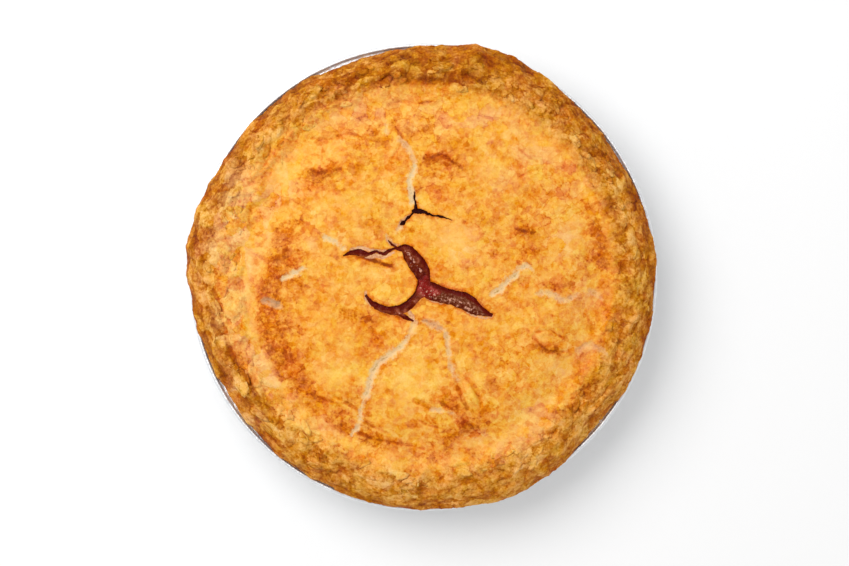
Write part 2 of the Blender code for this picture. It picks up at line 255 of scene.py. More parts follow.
# The pastry's outside from the edge down the tin to the middle of its base: radius, height, pitch.
UNDERSIDE = [(118.6, UNDER_EDGE, 1.2), (117.2, UNDER_EDGE, 2.4), (115.2, UNDER_EDGE, 4), (114.8, 30.9, 6),
             (110.4, 30.9, 6), (101.2, 15.2, 8), (92.6, 3.3, 8), (89.0, 0.9, 8), (45, 0.9, 12), (0, 0.9, 12)]


def pitch_at(radius):
    return LID_PITCH if radius < FINE_FROM else RIM_PITCH


def upper_side(radius, pitch):
    """One ring of the upper side."""
    return radius, float(section_height(radius)), pitch


def ringed_piece(name, rings):
    """A turned piece from (radius, height, pitch) rings."""
    return put(name, ringed_mesh(name, [(r, z, ring_count(r, pitch)) for r, z, pitch in rings]))


rings, radius = [], 0.0
while radius < SLOPE_FROM:
    rings.append(upper_side(radius, pitch_at(radius)))
    radius += ROW_SHARE * pitch_at(radius)
steep_part = [p for p in TOP_SECTION if p[0] > SLOPE_FROM]
outer_line = smooth_curve([(radius, float(section_height(radius))), *steep_part, *LIP_SECTION[1:]],
                          ROW_SHARE * RIM_PITCH)
rings += [(p.x, p.y, RIM_PITCH) for p in outer_line]
skin = ringed_piece("crust", rings + UNDERSIDE)
print(f"skin: {len(skin.data.vertices)} points, {len(skin.data.polygons)} triangles")

# %% [markdown]
# ## Tears
# Steam has burst the lid. The main tear runs round a disc of pastry, the flap, and one arm of it runs off to the
# lower right; a thin slot crosses above the flap, and a small star of cracks opened further up. Each tear is drawn
# as a brush stroke: points along its middle, with half its width. The strokes become upright cutters, and a
# Boolean takes them out of the skin while that is still smooth, so that the relief added later follows the cuts.

# %% Strokes
FLAP_CENTRE = Vector((-17.3, -0.5))
FLAP_RADIUS = 14.6
FLAP_STEP = 1.6  # between the points round the flap, in degrees
FLAP_GAP = [(79, 1.2), (66, 4.6), (50, 5.3), (34, 5.4), (15, 6.3), (0, 6.4), (-20, 7.0), (-38, 4.6),
            (-60, 5.2), (-76, 5.0), (-95, 4.3), (-112, 3.4), (-128, 2.6), (-144, 1.1)]
TEARS = {
    "tear_east": [(-1, -4.5, 3.5), (4, -7.3, 4.6), (10, -9.5, 4.2), (16, -11.0, 4.1), (21.6, -12.8, 4.6),
                  (26.2, -15.8, 3.9), (30.6, -18.2, 2.4), (35.6, -20.0, 0.8)],
    "tear_arm": [(-10.4, 14.4, 1.2), (-8.6, 11.8, 2.2), (-5.6, 7.2, 2.8), (-3.0, 2.6, 2.4), (-1.6, -1, 1.6)],
    "tear_west": [(-41.6, 11.0, 0.4), (-39, 11.9, 1.0), (-36, 12.5, 1.6), (-33, 12.5, 1.9), (-30.2, 11.9, 1.5),
                  (-28, 11.9, 0.9), (-26, 12.7, 0.9), (-24, 13.0, 0.7), (-20.7, 11.9, 0.9), (-18, 13.4, 1.0),
                  (-14.2, 14.7, 0.7)],
    "tear_foot": [(-14, -18.6, 1.0), (-10.5, -20.2, 1.4), (-7.6, -21.6, 1.0), (-5.2, -23, 0.4)],
    "tear_spur": [(-18.2, 19, 0.3), (-16.4, 17, 0.6), (-13.6, 15.2, 0.7)],
    "star_east": [(-6.0, 33.8, 0.7), (-4.2, 34.2, 1.7), (-2.4, 34.0, 1.5), (0.4, 33.4, 1.0), (3, 32.3, 0.7),
                  (6, 31.5, 0.5), (9, 31.0, 0.7), (12, 30.4, 0.4), (15, 29.2, 0.25)],
    "star_north": [(-3.8, 33.4, 1.2), (-3.8, 35.6, 1.1), (-4.0, 37.4, 0.7), (-4.2, 39.4, 0.4),
                   (-4.6, 42.0, 0.5), (-4.4, 44.2, 0.2)],
    "star_west": [(-4.4, 33.6, 0.7), (-6.2, 32.0, 0.5), (-7.8, 30.5, 0.9), (-9.2, 29.0, 0.6), (-10.6, 27.8, 1.2),
                  (-12.2, 27.3, 0.4)],
}
RAGGED_STEP = 0.45
RAGGEDNESS = 0.4  # millimetres that a torn edge wanders
WALL_LEAN = 0.8  # the walls lean, so that the near side of a tear shows its cut dough


def unevenness(point, size, shift):
    return noise.noise(Vector((point[0] / size, point[1] / size, shift)))


def stray(point, broad_shift, fine_shift):
    """How far a torn edge strays at a point, along one axis."""
    return RAGGEDNESS * (unevenness(point, 2.2, broad_shift) + 0.6 * unevenness(point, 0.8, fine_shift))


def ragged(outline):
    """The outline with small wanderings, as a torn edge has."""
    return [Vector((p[0] + stray(p, 1.3, 5.1), p[1] + stray(p, 8.7, 3.9))) for p in outline]


def stroke_outline(stroke):
    """The outline of a stroke, up its left side and back down its right."""
    middle = smooth_curve(stroke, RAGGED_STEP)
    left, right = [], []
    for k, here in enumerate(middle):
        along = (middle[min(k + 1, len(middle) - 1)] - middle[max(k - 1, 0)]).xy.normalized()
        across = Vector((-along.y, along.x)) * here.z
        left.append(here.xy + across)
        right.append(here.xy - across)
    return ragged([*left, *reversed(right)])


def flap_outline():
    """The outline of the gap that runs round the flap."""
    inner, outer = [], []
    for bearing, width in smooth_curve(FLAP_GAP, FLAP_STEP):
        ray = Vector((math.cos(math.radians(bearing)), math.sin(math.radians(bearing))))
        inner.append(FLAP_CENTRE + ray * FLAP_RADIUS)
        outer.append(FLAP_CENTRE + ray * (FLAP_RADIUS + width))
    return ragged([*inner, *reversed(outer)])


outlines = {name: stroke_outline(stroke) for name, stroke in TEARS.items()}
outlines["tear_flap"] = flap_outline()
print(f"{len(outlines)} tears, {sum(len(o) for o in outlines.values())} points round them")


# %% Cut the skin
LID_THICKNESS = 3.2
CUT_HEIGHTS = (34, 56)  # the foot and the head of the cutters
ROOM_POINTS = 96  # in each ring of the room for the filling
# The inside of the pastry, from the lid's underside to the base.
ROOM_SECTION = [(0, 43.4), (25, 43.4), (50, 42.9), (70, 41.6), (84, 38.7), (95, 36.4), (102.5, 37.5), (104.6, 34.5),
                (107.6, 30.5), (97.8, 15.25), (91.2, 6.3), (87.2, 3.9), (0, 3.9)]


def cutter(name, outline):
    """An upright prism over an outline that leans to the north going down. On the lid's top it is the outline."""
    mesh = bpy.data.meshes.new(name)
    bm = bmesh.new()
    rings = []
    for height in CUT_HEIGHTS:
        lean = WALL_LEAN * (section_height(0) - height) / LID_THICKNESS
        rings.append([bm.verts.new((p.x, p.y + lean, height)) for p in outline])
        bm.faces.new(rings[-1])
    foot, head = rings
    for k in range(len(outline)):
        j = (k + 1) % len(outline)
        bm.faces.new((foot[k], foot[j], head[j], head[k]))
    bmesh.ops.triangulate(bm, faces=bm.faces)
    bmesh.ops.recalc_face_normals(bm, faces=bm.faces)
    bm.to_mesh(mesh)
    bm.free()
    return put(name, mesh)


def cut(obj, cutters):
    """Takes the cutters out of obj, and removes them."""
    for tool in cutters:
        modifier = obj.modifiers.new("cut", "BOOLEAN")
        modifier.operation = "DIFFERENCE"
        modifier.object = tool
        modifier.solver = "MANIFOLD"
    shape = bpy.data.meshes.new_from_object(obj.evaluated_get(bpy.context.evaluated_depsgraph_get()))
    obj.modifiers.clear()
    obj.data = shape
    for tool in cutters:
        bpy.data.objects.remove(tool)


room = put("room", ringed_mesh("room", [(r, z, ROOM_POINTS if r else 1) for r, z in ROOM_SECTION]))
cut(skin, [room, *(cutter(name, outline) for name, outline in outlines.items())])
print(f"cut: {len(skin.data.vertices)} points, {len(skin.data.polygons)} faces, {time.time() - started:.1f} s")

# %% [markdown]
# ## Relief
# Baked pastry is never smooth. The lid heaves gently, sags beside the tear and is pebbled with small bubbles; the
# rim is a tangle of ridges, flakes and crevices. A sculptor would brush this on; here it is a sum of noises, one
# for each size of bump, so that each can be tuned alone. Every point of the cut skin is moved at once, so the
# walls of the tears follow the lid.

# %% Tools for fields of numbers
def points_of(obj):
    """The object's points as rows of x, y and z."""
    coords = np.empty(len(obj.data.vertices) * 3, np.float32)
    obj.data.vertices.foreach_get("co", coords)
    return coords.reshape(-1, 3).astype(float)


def move_points(obj, places):
    """Puts the object's points at these places, given in millimetres, and shades it smooth."""
    obj.data.vertices.foreach_set("co", (places * MM).astype(np.float32).ravel())
    obj.data.update()
    obj.data.shade_smooth()


def ease(low, high, value):
    """0 up to low, 1 from high on, and a smooth climb between."""
    share = np.clip((value - low) / (high - low), 0, 1)
    return share * share * (3 - 2 * share)


def bumps(places, size, shift):
    """Noise at each place, its bumps about size millimetres across."""
    offset = Vector((shift, 2.3 * shift, 0.7 * shift))
    return np.array([noise.noise(Vector(place) / size + offset) for place in places])


def noted(obj, name, values):
    """Keeps one number for each point on the mesh, where a finish can read it."""
    attribute = obj.data.attributes.new(name, "FLOAT", "POINT")
    attribute.data.foreach_set("value", np.asarray(values, np.float32))


STROKE_STEP = 2.0  # millimetres between the points along a stroke
FAR_AWAY = 99.0  # a start for the search, further than any stroke reaches


def line_distance(places, stroke):
    """Distance from each place to the edge of a stroke, in millimetres; it is below nothing inside."""
    nearest = np.full(len(places), FAR_AWAY)
    middle = smooth_curve(stroke, STROKE_STEP)
    for a, b in zip(middle, middle[1:]):
        step = np.array(b - a)
        to = places[:, :2] - np.array(a)[:2]
        share = np.clip(to @ step[:2] / (step[:2] @ step[:2] + 1e-9), 0, 1)
        away = np.hypot(*(to - share[:, None] * step[:2]).T) - (a.z + share * step[2])
        nearest = np.minimum(nearest, away)
    return nearest


def nearest_line(places, strokes):
    """Distance from each place to the nearest of several strokes."""
    return np.min([line_distance(places, stroke) for stroke in strokes], axis=0)


def patch(places, x, y, width, height, turn=0.0):
    """1 in the middle of an oval patch, fading to nothing outside it."""
    angle = math.radians(turn)
    along = (places[:, 0] - x) * math.cos(angle) + (places[:, 1] - y) * math.sin(angle)
    across = (places[:, 1] - y) * math.cos(angle) - (places[:, 0] - x) * math.sin(angle)
    return np.exp(-((along / width) ** 2 + (across / height) ** 2))


# %% [markdown]
# Five blisters stand up from the lid, and the skin has split in long shallow cracks that run out from the middle.
# Both are listed one by one, because nothing else decides where a pie blisters or splits.

# %% Blisters and cracks
BLISTERS = {
    "fold": (24.4, -60, 17, 6.5, -61, 1.5),
    "north": (10, 61, 20, 7, -6, 1.2),
    "east": (53, 23.5, 14, 6, -8, 1.2),
    "south_east": (66, -37.5, 15, 7, -8, 1.1),
    "north_west": (-50, 54.5, 17, 6, 4, 1.1),
}
BLISTER_ROOT = 3.0
CRACK_DEPTH = 0.55
CRACKS = {  # how raw the dough in it looks, and its stroke
    "south_west": (0.75, [(-7, -30, 0.4), (-10, -34, 0.9), (-14, -37.6, 1.1), (-19, -41.5, 1.6), (-23, -43.5, 1.3),
                         (-26, -48, 1.2), (-27.5, -54, 1.2), (-29, -60, 1.3), (-31, -64, 0.9), (-32.4, -69, 0.2),
                         (-32.6, -74, 1.0), (-34.4, -78.6, 1.0), (-37.4, -82, 0.4)]),
    "south_west_head": (0.5, [(-4.6, -23.4, 0.8), (-5.6, -26, 0.9), (-7, -30, 0.9)]),
    "north": (0.85, [(-5.2, 38.5, 1.0), (-5.4, 41, 1.3), (-6.4, 45, 1.4), (-7.4, 50, 1.2), (-5.6, 54, 1.3),
                     (-4.6, 57.5, 0.9)]),
    "north_tail": (0.5, [(-4.6, 60, 0.8), (-7, 65, 0.9), (-10, 69.6, 0.8), (-12.4, 71, 0.4)]),
    "south_oval": (0.5, [(0.5, -23.2, 0.5), (4, -24.4, 1.5), (8, -25.6, 1.5), (10.8, -27.2, 0.7)]),
    "south": (0.6, [(11.6, -29, 0.5), (12.4, -34, 0.7), (13.4, -41, 0.5), (14.6, -48, 0.6), (17.4, -53, 0.3)]),
    "east": (0.75, [(35.6, -8.8, 0.7), (39, -7.2, 1.5), (42, -4.2, 1.1), (45, -1, 1.3), (48.5, 2, 1.3),
                   (51, 4.6, 0.9), (54, 5.6, 1.0), (56.2, 4.2, 0.4)]),
    "far_east": (0.5, [(59, -8.8, 0.7), (64, -8.6, 1.1), (68, -9.8, 0.9), (71, -12, 0.9), (76, -11.4, 0.8),
                       (80, -9, 0.5)]),
    "far_east_end": (0.35, [(84, -7.4, 0.8), (89, -8.6, 1.0), (92, -11, 0.5)]),
    "west": (0.85, [(-73.5, -1.2, 0.7), (-68, 1.2, 1.0), (-62, 5, 0.5)]),
    "notch": (0.75, [(-51, 20.4, 0.3), (-46, 18.2, 0.9), (-41, 15, 0.6)]),
    "blister": (0.4, [(-83, -12.0, 0.5), (-79, -13.2, 1.3), (-74, -15.6, 0.9)]),
    "between_top": (0.7, [(-12.2, 25.8, 0.3), (-13.2, 24.2, 0.5), (-14.2, 22.8, 0.2)]),
    "between_foot": (0.7, [(-18.8, 20.8, 0.3), (-17.6, 19.0, 0.6), (-16.6, 17.4, 0.4)]),
    "south_end": (0.6, [(4, -69, 0.3), (8, -69.4, 0.8), (14, -70.4, 0.7)]),
    "north_end": (0.45, [(-19.4, 80, 0.3), (-19.4, 77, 0.5), (-18.8, 74, 0.2)]),
    "north_east": (0.3, [(80, -37.4, 0.8), (85, -35.4, 1.1), (90, -36.4, 1.0), (95, -40, 0.5)]),
}
# Fine dark lines, where thin skin has wrinkled or cracked without opening.
LINES = [
    [(-60, -60.6, 0.3), (-54, -62.4, 0.6), (-47, -64.6, 0.5)], [(-46, -62, 0.2), (-38, -66, 0.4), (-31.4, -70.6, 0.4)],
    [(-31, -74.6, 0.4), (-25, -78, 0.4), (-18, -81, 0.2)],
    [(-33, -81, 0.4), (-25, -84, 0.4), (-12, -86.6, 0.3), (0, -89, 0.2)],
    [(-4, -64, 0.9), (-0.6, -65.2, 1.3), (3, -67.4, 1.4), (6, -68.6, 0.6)],
    [(8, -64, 0.2), (14, -68, 0.4), (19, -70.4, 0.3)], [(17.2, -54.6, 0.6), (19.4, -61, 0.9), (22.6, -68, 0.9)],
    [(22.2, -52.4, 0.7), (26.4, -57.4, 0.9), (29.4, -63, 0.9), (29.4, -67, 0.4)],
    [(20, -73, 0.3), (24, -77, 0.7), (28.4, -79.4, 0.5)], [(-3, -74, 0.2), (4, -77, 0.3), (9, -78.4, 0.2)],
    [(57, -30.6, 0.3), (60.4, -35, 0.7), (65, -38.6, 0.9), (72.6, -38.8, 0.5)],
    [(58, -29, 0.2), (65, -27.4, 0.3), (71, -31, 0.2)],
    [(0.6, 61.4, 0.4), (5, 62, 0.5), (9.8, 63.8, 0.5), (14, 60.6, 0.4), (19.4, 56.8, 0.3)],
    [(-58, 55.4, 0.3), (-54, 54, 0.8), (-49, 55, 0.5), (-40, 56, 0.2)],
    [(48, 24.6, 0.3), (52, 23.8, 0.7), (57, 23, 0.4)],
    [(28, 84, 0.2), (34, 82.4, 0.3), (40, 81, 0.3), (46, 77.6, 0.2)], [(49, 67, 0.2), (54, 63, 0.3), (59, 60, 0.2)],
    [(50, 52, 0.2), (57, 55.4, 0.3), (64, 56, 0.2)],
    [(-14, 77, 0.3), (-11, 72.6, 0.4), (-12.4, 67, 0.3), (-16, 61.6, 0.2)],
    [(-58, 72, 0.3), (-48, 71.4, 0.4), (-38, 74.6, 0.3), (-30, 71.4, 0.5), (-23, 70, 0.3)],
    [(-16, 90, 0.3), (-10, 91.4, 0.3), (-2, 90, 0.3), (6, 92, 0.2)],
    [(-60, 90, 0.3), (-52, 92, 0.5), (-44, 88, 0.3), (-30, 84, 0.2)],
    [(-33, 9.8, 0.3), (-28.4, 9.4, 0.6), (-24.6, 7.8, 0.5)], [(-21, 6.6, 0.3), (-18, 5.6, 0.7), (-15.6, 7, 0.3)],
    [(-59, 0, 0.3), (-54, -2, 0.2)], [(-88, -8, 0.3), (-85, -12, 0.7), (-81, -11.4, 0.5), (-76, -13.4, 0.2)],
    [(21.6, 28.3, 0.3), (22.4, 27.9, 0.3)], [(36, 12.6, 0.3), (38, 11.4, 0.3)], [(-8, -33.4, 0.5), (-6.6, -35.4, 0.5)],
    [(3.4, -24.6, 0.3), (6.4, -25.4, 0.7), (9, -26.6, 0.6), (10.4, -27.6, 0.3)],
    [(-1, -22.4, 0.2), (3, -23, 0.4), (6.4, -23.6, 0.2)],
]
# Beside these tears the dough has broken away on a slant, and its raw inside shows.
TORN_EDGES = {
    "above_slot": [(-38, 14.0, 0.2), (-35, 14.9, 0.6), (-31, 15.0, 0.8), (-28, 13.9, 0.7), (-26, 13.9, 0.4),
                   (-22, 13.7, 0.3), (-19.6, 13.6, 0.5)],
    "below_slot": [(-30, 9.8, 0.2), (-27, 10.6, 0.8), (-24, 11.2, 1.0), (-20.8, 10.2, 1.1), (-19, 11.2, 0.8),
                   (-16.6, 12.2, 0.6), (-15, 13.0, 0.3)],
    "spur": [(-19, 20.4, 0.2), (-18.2, 18.4, 0.5), (-16.8, 17.2, 0.6), (-15, 16.6, 0.4), (-12.5, 16.8, 0.2)],
    "east_foot": [(1.5, -11.2, 0.1), (3.6, -12.0, 0.3), (5.8, -12.6, 0.5), (8.2, -13.0, 0.4), (10, -14.0, 0.1)],
    "east_tip": [(22, -17.6, 0.2), (25, -19.4, 0.4), (29, -20.6, 0.5), (33, -21.2, 0.3), (35.6, -20.4, 0.2)],
    "foot_chip": [(-7.4, -17.6, 0.5), (-6.6, -19.4, 0.9), (-5.4, -21.4, 0.9), (-4.6, -22.8, 0.3)],
    "flap_hinge": [(-29.8, -7.4, 0.3), (-29.9, -10.2, 0.5), (-29.3, -12.6, 0.4), (-27.4, -14.9, 0.2)],
    "star_chip": [(-6.4, 32.2, 0.2), (-8.4, 31.2, 0.4), (-11, 29.2, 0.3), (-12.8, 26.6, 0.4)],
}
lid_places = points_of(skin)
reach = np.hypot(lid_places[:, 0], lid_places[:, 1])
bearing = np.arctan2(lid_places[:, 1], lid_places[:, 0])
torn = nearest_line(lid_places, TORN_EDGES.values())
to_cracks = np.array([line_distance(lid_places, stroke) for _, stroke in CRACKS.values()])
split = to_cracks.min(axis=0)
rawness = np.array([strength for strength, _ in CRACKS.values()])[to_cracks.argmin(axis=0)]
lined = nearest_line(lid_places, LINES) + 0.7 * bumps(lid_places, 2.6, 2.6)
blistered = np.zeros(len(lid_places))
for x, y, length, width, turn, height in BLISTERS.values():
    oval = -np.log(np.maximum(patch(lid_places, x, y, length / 2, width / 2, turn), 1e-9))
    dome = BLISTER_ROOT * np.sqrt(np.clip(1 - oval, 0, 1)) - (BLISTER_ROOT - height)
    blistered += np.clip(dome, 0, height)
print(f"{len(BLISTERS)} blisters, {len(CRACKS)} cracks and {len(LINES)} fine lines")


# %% Heave and pebbling of the lid
SAG = (-2, -4, 24, 24)  # the middle of the hollow by the tear, and its half size
SAG_DEPTH = 0.9


def lid_relief(places):
    """Height of the lid's own bumps in millimetres."""
    flat = places * (1, 1, 0)
    heave = 0.9 * bumps(flat + (0, 0, 31), 26, 0) + 0.35 * bumps(flat + (0, 0, 17), 9, 0)
    pebbling = 0.16 * bumps(flat, 3.4, 5.5) + 0.10 * bumps(flat, 1.7, 8.8)
    return heave - SAG_DEPTH * patch(places, *SAG) + pebbling


heaved = lid_relief(lid_places)
print(f"the lid alone heaves from {heaved.min():.1f} to {heaved.max():.1f} mm")

# %% The rim's crags
FLAKE_SIZES = ((8.5, 0.7), (3.6, 0.14))  # how wide the flakes of each layer are, and how far they stand


def flakes(place, size):
    """Height of the flake that covers a place, and how near its torn edge is (0 on it)."""
    here = Vector(place) / size
    here += 0.42 * noise.noise_vector(here * 1.3) + 0.12 * noise.noise_vector(here * 4)
    distances, middles = noise.voronoi(here)
    nearest = middles[0]
    tilt = noise.cell_vector(nearest * 5.1) * 2 - Vector((1, 1, 1))
    height = 0.75 * noise.cell(nearest * 3.7) + 0.75 * (here - nearest).dot(tilt)
    return height, distances[1] - distances[0]


def round_the_rim(places, length, width, shift):
    """Noise drawn out along the rim: length round it, width across it."""
    turn = np.arctan2(places[:, 1], places[:, 0])
    across = np.hypot(places[:, 0], places[:, 1]) + 2.2 * bumps(places, 8, shift + 1)
    hoop = MEAN_RIM / length
    drawn = np.stack([hoop * np.cos(turn), hoop * np.sin(turn), across / width], axis=1)
    return bumps(drawn, 1, shift)


MEAN_RIM = 107
DEEPEST, TALLEST = -2.6, 2.4  # limits of the rim's relief
# Creases and thick folds that run along the rim, as strokes.
CREASES = {
    "left": [(-117, -2, 0.3), (-110, -5, 0.7), (-107, -10, 0.8), (-105, -18, 0.8), (-103, -28, 1.0),
             (-100, -40, 1.4), (-93, -52, 1.2), (-87, -61, 0.6), (-80, -69, 0.3)],
    "left_inner": [(-92, 7, 0.2), (-94, 0, 0.4), (-92, -12, 0.5), (-90, -20, 0.4), (-87, -27, 0.2)],
    "north_east": [(28, 84, 0.2), (34, 82.6, 0.3), (38, 82, 0.2)],
    "inner_east": [(48, 67.4, 0.2), (53, 64.2, 0.3), (57, 61, 0.2)],
    "upper_right": [(69, 84, 0.3), (71.5, 88.3, 0.6), (75, 91, 0.6), (81, 90.4, 0.5), (85, 88, 0.3)],
}
FOLDS = {
    "left": [(-117, -2, 0.6), (-115.6, -8, 1.2), (-113, -14, 0.8)],
    "lower_left": [(-108, -32, 0.6), (-109, -38, 1.4), (-105, -44, 1.6), (-101, -45.6, 0.8)],
    "foot": [(-99, -54, 0.8), (-97, -59, 1.6), (-92, -62.6, 1.0)],
}


def rim_relief(places):
    """The crags of the rim in millimetres, and a number that is 1 along the crevices between flakes."""
    sharp = round_the_rim(places, 10, 8, 9.3)
    relief = 1.0 - 3.0 * np.sqrt(sharp ** 2 + 0.05 ** 2) + 1.3 * bumps(places, 17, 2.4) - 0.9
    fold_noise = np.abs(round_the_rim(places, 12, 6, 4.4))
    relief += 1.9 * np.minimum(fold_noise, 0.5) - 0.35 + 0.08 * bumps(places, 1.9, 6.1)
    crevice = 1 - ease(0.0, 0.09, fold_noise)
    for size, stand in FLAKE_SIZES:
        found = np.array([flakes(place, size) for place in places])
        relief += stand * found[:, 0]
        edge = 1 - ease(0.0, 0.12, found[:, 1])
        relief -= 0.35 * stand * edge
        crevice = np.maximum(crevice, edge * math.sqrt(stand))
    crease = nearest_line(places, CREASES.values()) + 0.5 * bumps(places, 2.6, 2.9)
    fold = nearest_line(places, FOLDS.values())
    relief += 1.0 * ease(1.6, -0.4, fold) - 1.1 * ease(0.9, -0.6, crease)
    return np.clip(relief, DEEPEST, TALLEST), np.maximum(crevice, ease(0.5, -0.3, crease))


# %% Lid and rim together
# Where the crags begin: for each bearing, a radius.
CRAGS_FROM = [(0, 91), (90, 92), (140, 88), (160, 85), (200, 86), (230, 89), (270, 91), (330, 91)]
CRAGS_BLEND = 12  # millimetres over which the lid turns craggy
SPLIT_WANDER = ((4.6, 1.3, 5.7), (2.2, 1.0, 1.9), (1.1, 0.5, 7.1))  # size, strength and shift of each noise


def by_bearing(table):
    """A value for each point of the lid, from (bearing, value) pairs."""
    return np.interp(np.degrees(bearing) % 360, *zip(*table), period=360)


wander = 3.2 * bumps(lid_places, 17, 3.3) + 1.8 * bumps(lid_places, 6, 6.6)
crags_from = by_bearing(CRAGS_FROM)
craggy = ease(crags_from, crags_from + CRAGS_BLEND, reach + wander)
on_rim = craggy > 0
relief = heaved + blistered
ragged_split = split + sum(strength * bumps(lid_places, size, shift) for size, strength, shift in SPLIT_WANDER)
torn += 0.35 * bumps(lid_places, 1.6, 3.1)
relief -= 0.6 * ease(0.7, -0.7, torn)
relief += 0.25 * np.exp(-((lined - 1.3) / 0.8) ** 2) - 0.3 * ease(0.8, -0.3, lined)
relief += 0.2 * np.exp(-((ragged_split - 0.9) / 0.7) ** 2) - CRACK_DEPTH * (1 - ease(-0.8, 0.5, ragged_split))
crevice = np.zeros(len(lid_places))
rim_height, rim_crevice = rim_relief(lid_places[on_rim])
relief[on_rim] = (1 - craggy[on_rim]) * relief[on_rim] + craggy[on_rim] * rim_height
crevice[on_rim] = craggy[on_rim] * rim_crevice
print(f"relief from {relief.min():.1f} to {relief.max():.1f} mm, {time.time() - started:.1f} s")

# %% [markdown]
# The pastry's edge isn't a true circle: in places it swells out over the bead, in others it draws back and leaves
# the foil bare. The underside rests on the flange and keeps its height.

# %% Move the points
EDGE_SWELLS = [(72, 13, 3.1), (172, 14, 3.4), (294, 11, 2.6), (106, 16, -2.9), (214, 17, -2.6), (319, 9, -2.4),
               (34, 15, -1.6), (243, 7, -1.3), (141, 17, -1.3)]


def edge_swell(bearing):
    """How far the edge reaches past EDGE_RADIUS in each direction, bearings in radians."""
    swell = np.zeros(len(bearing))
    for centre, half_width, height in EDGE_SWELLS:
        away = (np.degrees(bearing) - centre + 180) % 360 - 180
        swell += height * np.exp(-((away / half_width) ** 2))
    ring = np.stack([6 * np.cos(bearing), 6 * np.sin(bearing), np.full(len(bearing), 0.4)], axis=1)
    return swell + 0.6 * bumps(ring, 1, 0)


LID_FROM = 36  # in the middle of the pie, points above this height belong to the lid
LIP_FROM = 119  # outside this radius the edge turns under
OVERHANG_FROM = 116  # outside it even the underside swells and draws back with the edge
above = lid_places[:, 2] - section_height(reach)
free = np.where(reach < RIM_START, (lid_places[:, 2] > LID_FROM).astype(float), ease(-3.0, -1.0, above))
lip = (reach > LIP_FROM) & (lid_places[:, 2] > UNDER_EDGE + 0.3)
free[lip] = np.maximum(free[lip], ease(UNDER_EDGE, UNDER_EDGE + 1.6, lid_places[lip, 2]))
swell = edge_swell(bearing) * ease(RIM_START, EDGE_RADIUS - 2, reach) * np.where(reach > OVERHANG_FROM, 1.0, free)
steep = ease(EDGE_RADIUS - 9, EDGE_RADIUS, reach)
fray = 0.3 * bumps(lid_places, 2.8, 7.7) + 0.2 * bumps(lid_places, 1.2, 4.2)
outward = swell + free * steep * (0.45 * relief + fray)
moved = lid_places.copy()
moved[:, :2] *= ((reach + outward) / np.maximum(reach, 1e-6))[:, None]
moved[:, 2] += free * (1 - 0.6 * steep) * relief
move_points(skin, moved)
low, high = moved.min(axis=0), moved.max(axis=0)
print("crust from", np.round(low, 1), "to", np.round(high, 1), f"{time.time() - started:.1f} s")

# %% [markdown]
# ## What each point of the pastry knows
# The finish has to follow the shape: torn walls show raw dough, edges scorch, and on the rim the hollows are painted
# dark as shade and the ridges paler as light. A painter would make masks by hand. Here each point keeps a few numbers
# as attributes, such as its distance to the nearest tear, and the shader turns them into masks with its own fine
# noise, so that no edge is too clean.

# %% Distances to the tears, and depth below the lid
# Where the rim's brown begins: for each bearing, a radius.
RIM_FROM = [(0, 99), (30, 99), (60, 99), (90, 99.5), (115, 101), (135, 104), (150, 106), (180, 107), (200, 106),
            (215, 104), (240, 101), (270, 101), (300, 101), (330, 99)]
rows = kdtree.KDTree(sum(len(outline) for outline in outlines.values()))
for index, point in enumerate(point for outline in outlines.values() for point in outline):
    rows.insert((point.x, point.y, 0), index)
rows.balance()
depth = np.clip(section_height(reach) - lid_places[:, 2], 0, 9) * (reach < RIM_START)
noted(skin, "tear", [rows.find((x, y, 0))[2] for x, y, _ in lid_places])
noted(skin, "depth", depth)
noted(skin, "split", np.clip(ragged_split, -3, 9))
noted(skin, "rawness", rawness)
noted(skin, "lined", np.clip(lined, -1, 4))
noted(skin, "torn", np.clip(torn, -3, 9))
noted(skin, "rim", ease(-3, 5, reach + 0.5 * wander - by_bearing(RIM_FROM)))
noted(skin, "craggy", craggy)
noted(skin, "crazed", 0.25 * patch(lid_places, 0, 80, 60, 20) + 0.15 * patch(lid_places, 80, 40, 20, 40))
# 1 along the crevices and creases of the rim, where the finish paints shade.
noted(skin, "crevice", crevice)
# Height of the crags, which the finish turns into painted light on the ridges and painted shade in the hollows.
noted(skin, "lift", np.clip(relief, -3, 3) * craggy)
print(f"{(depth > 0.5).sum()} points lie below the surface")
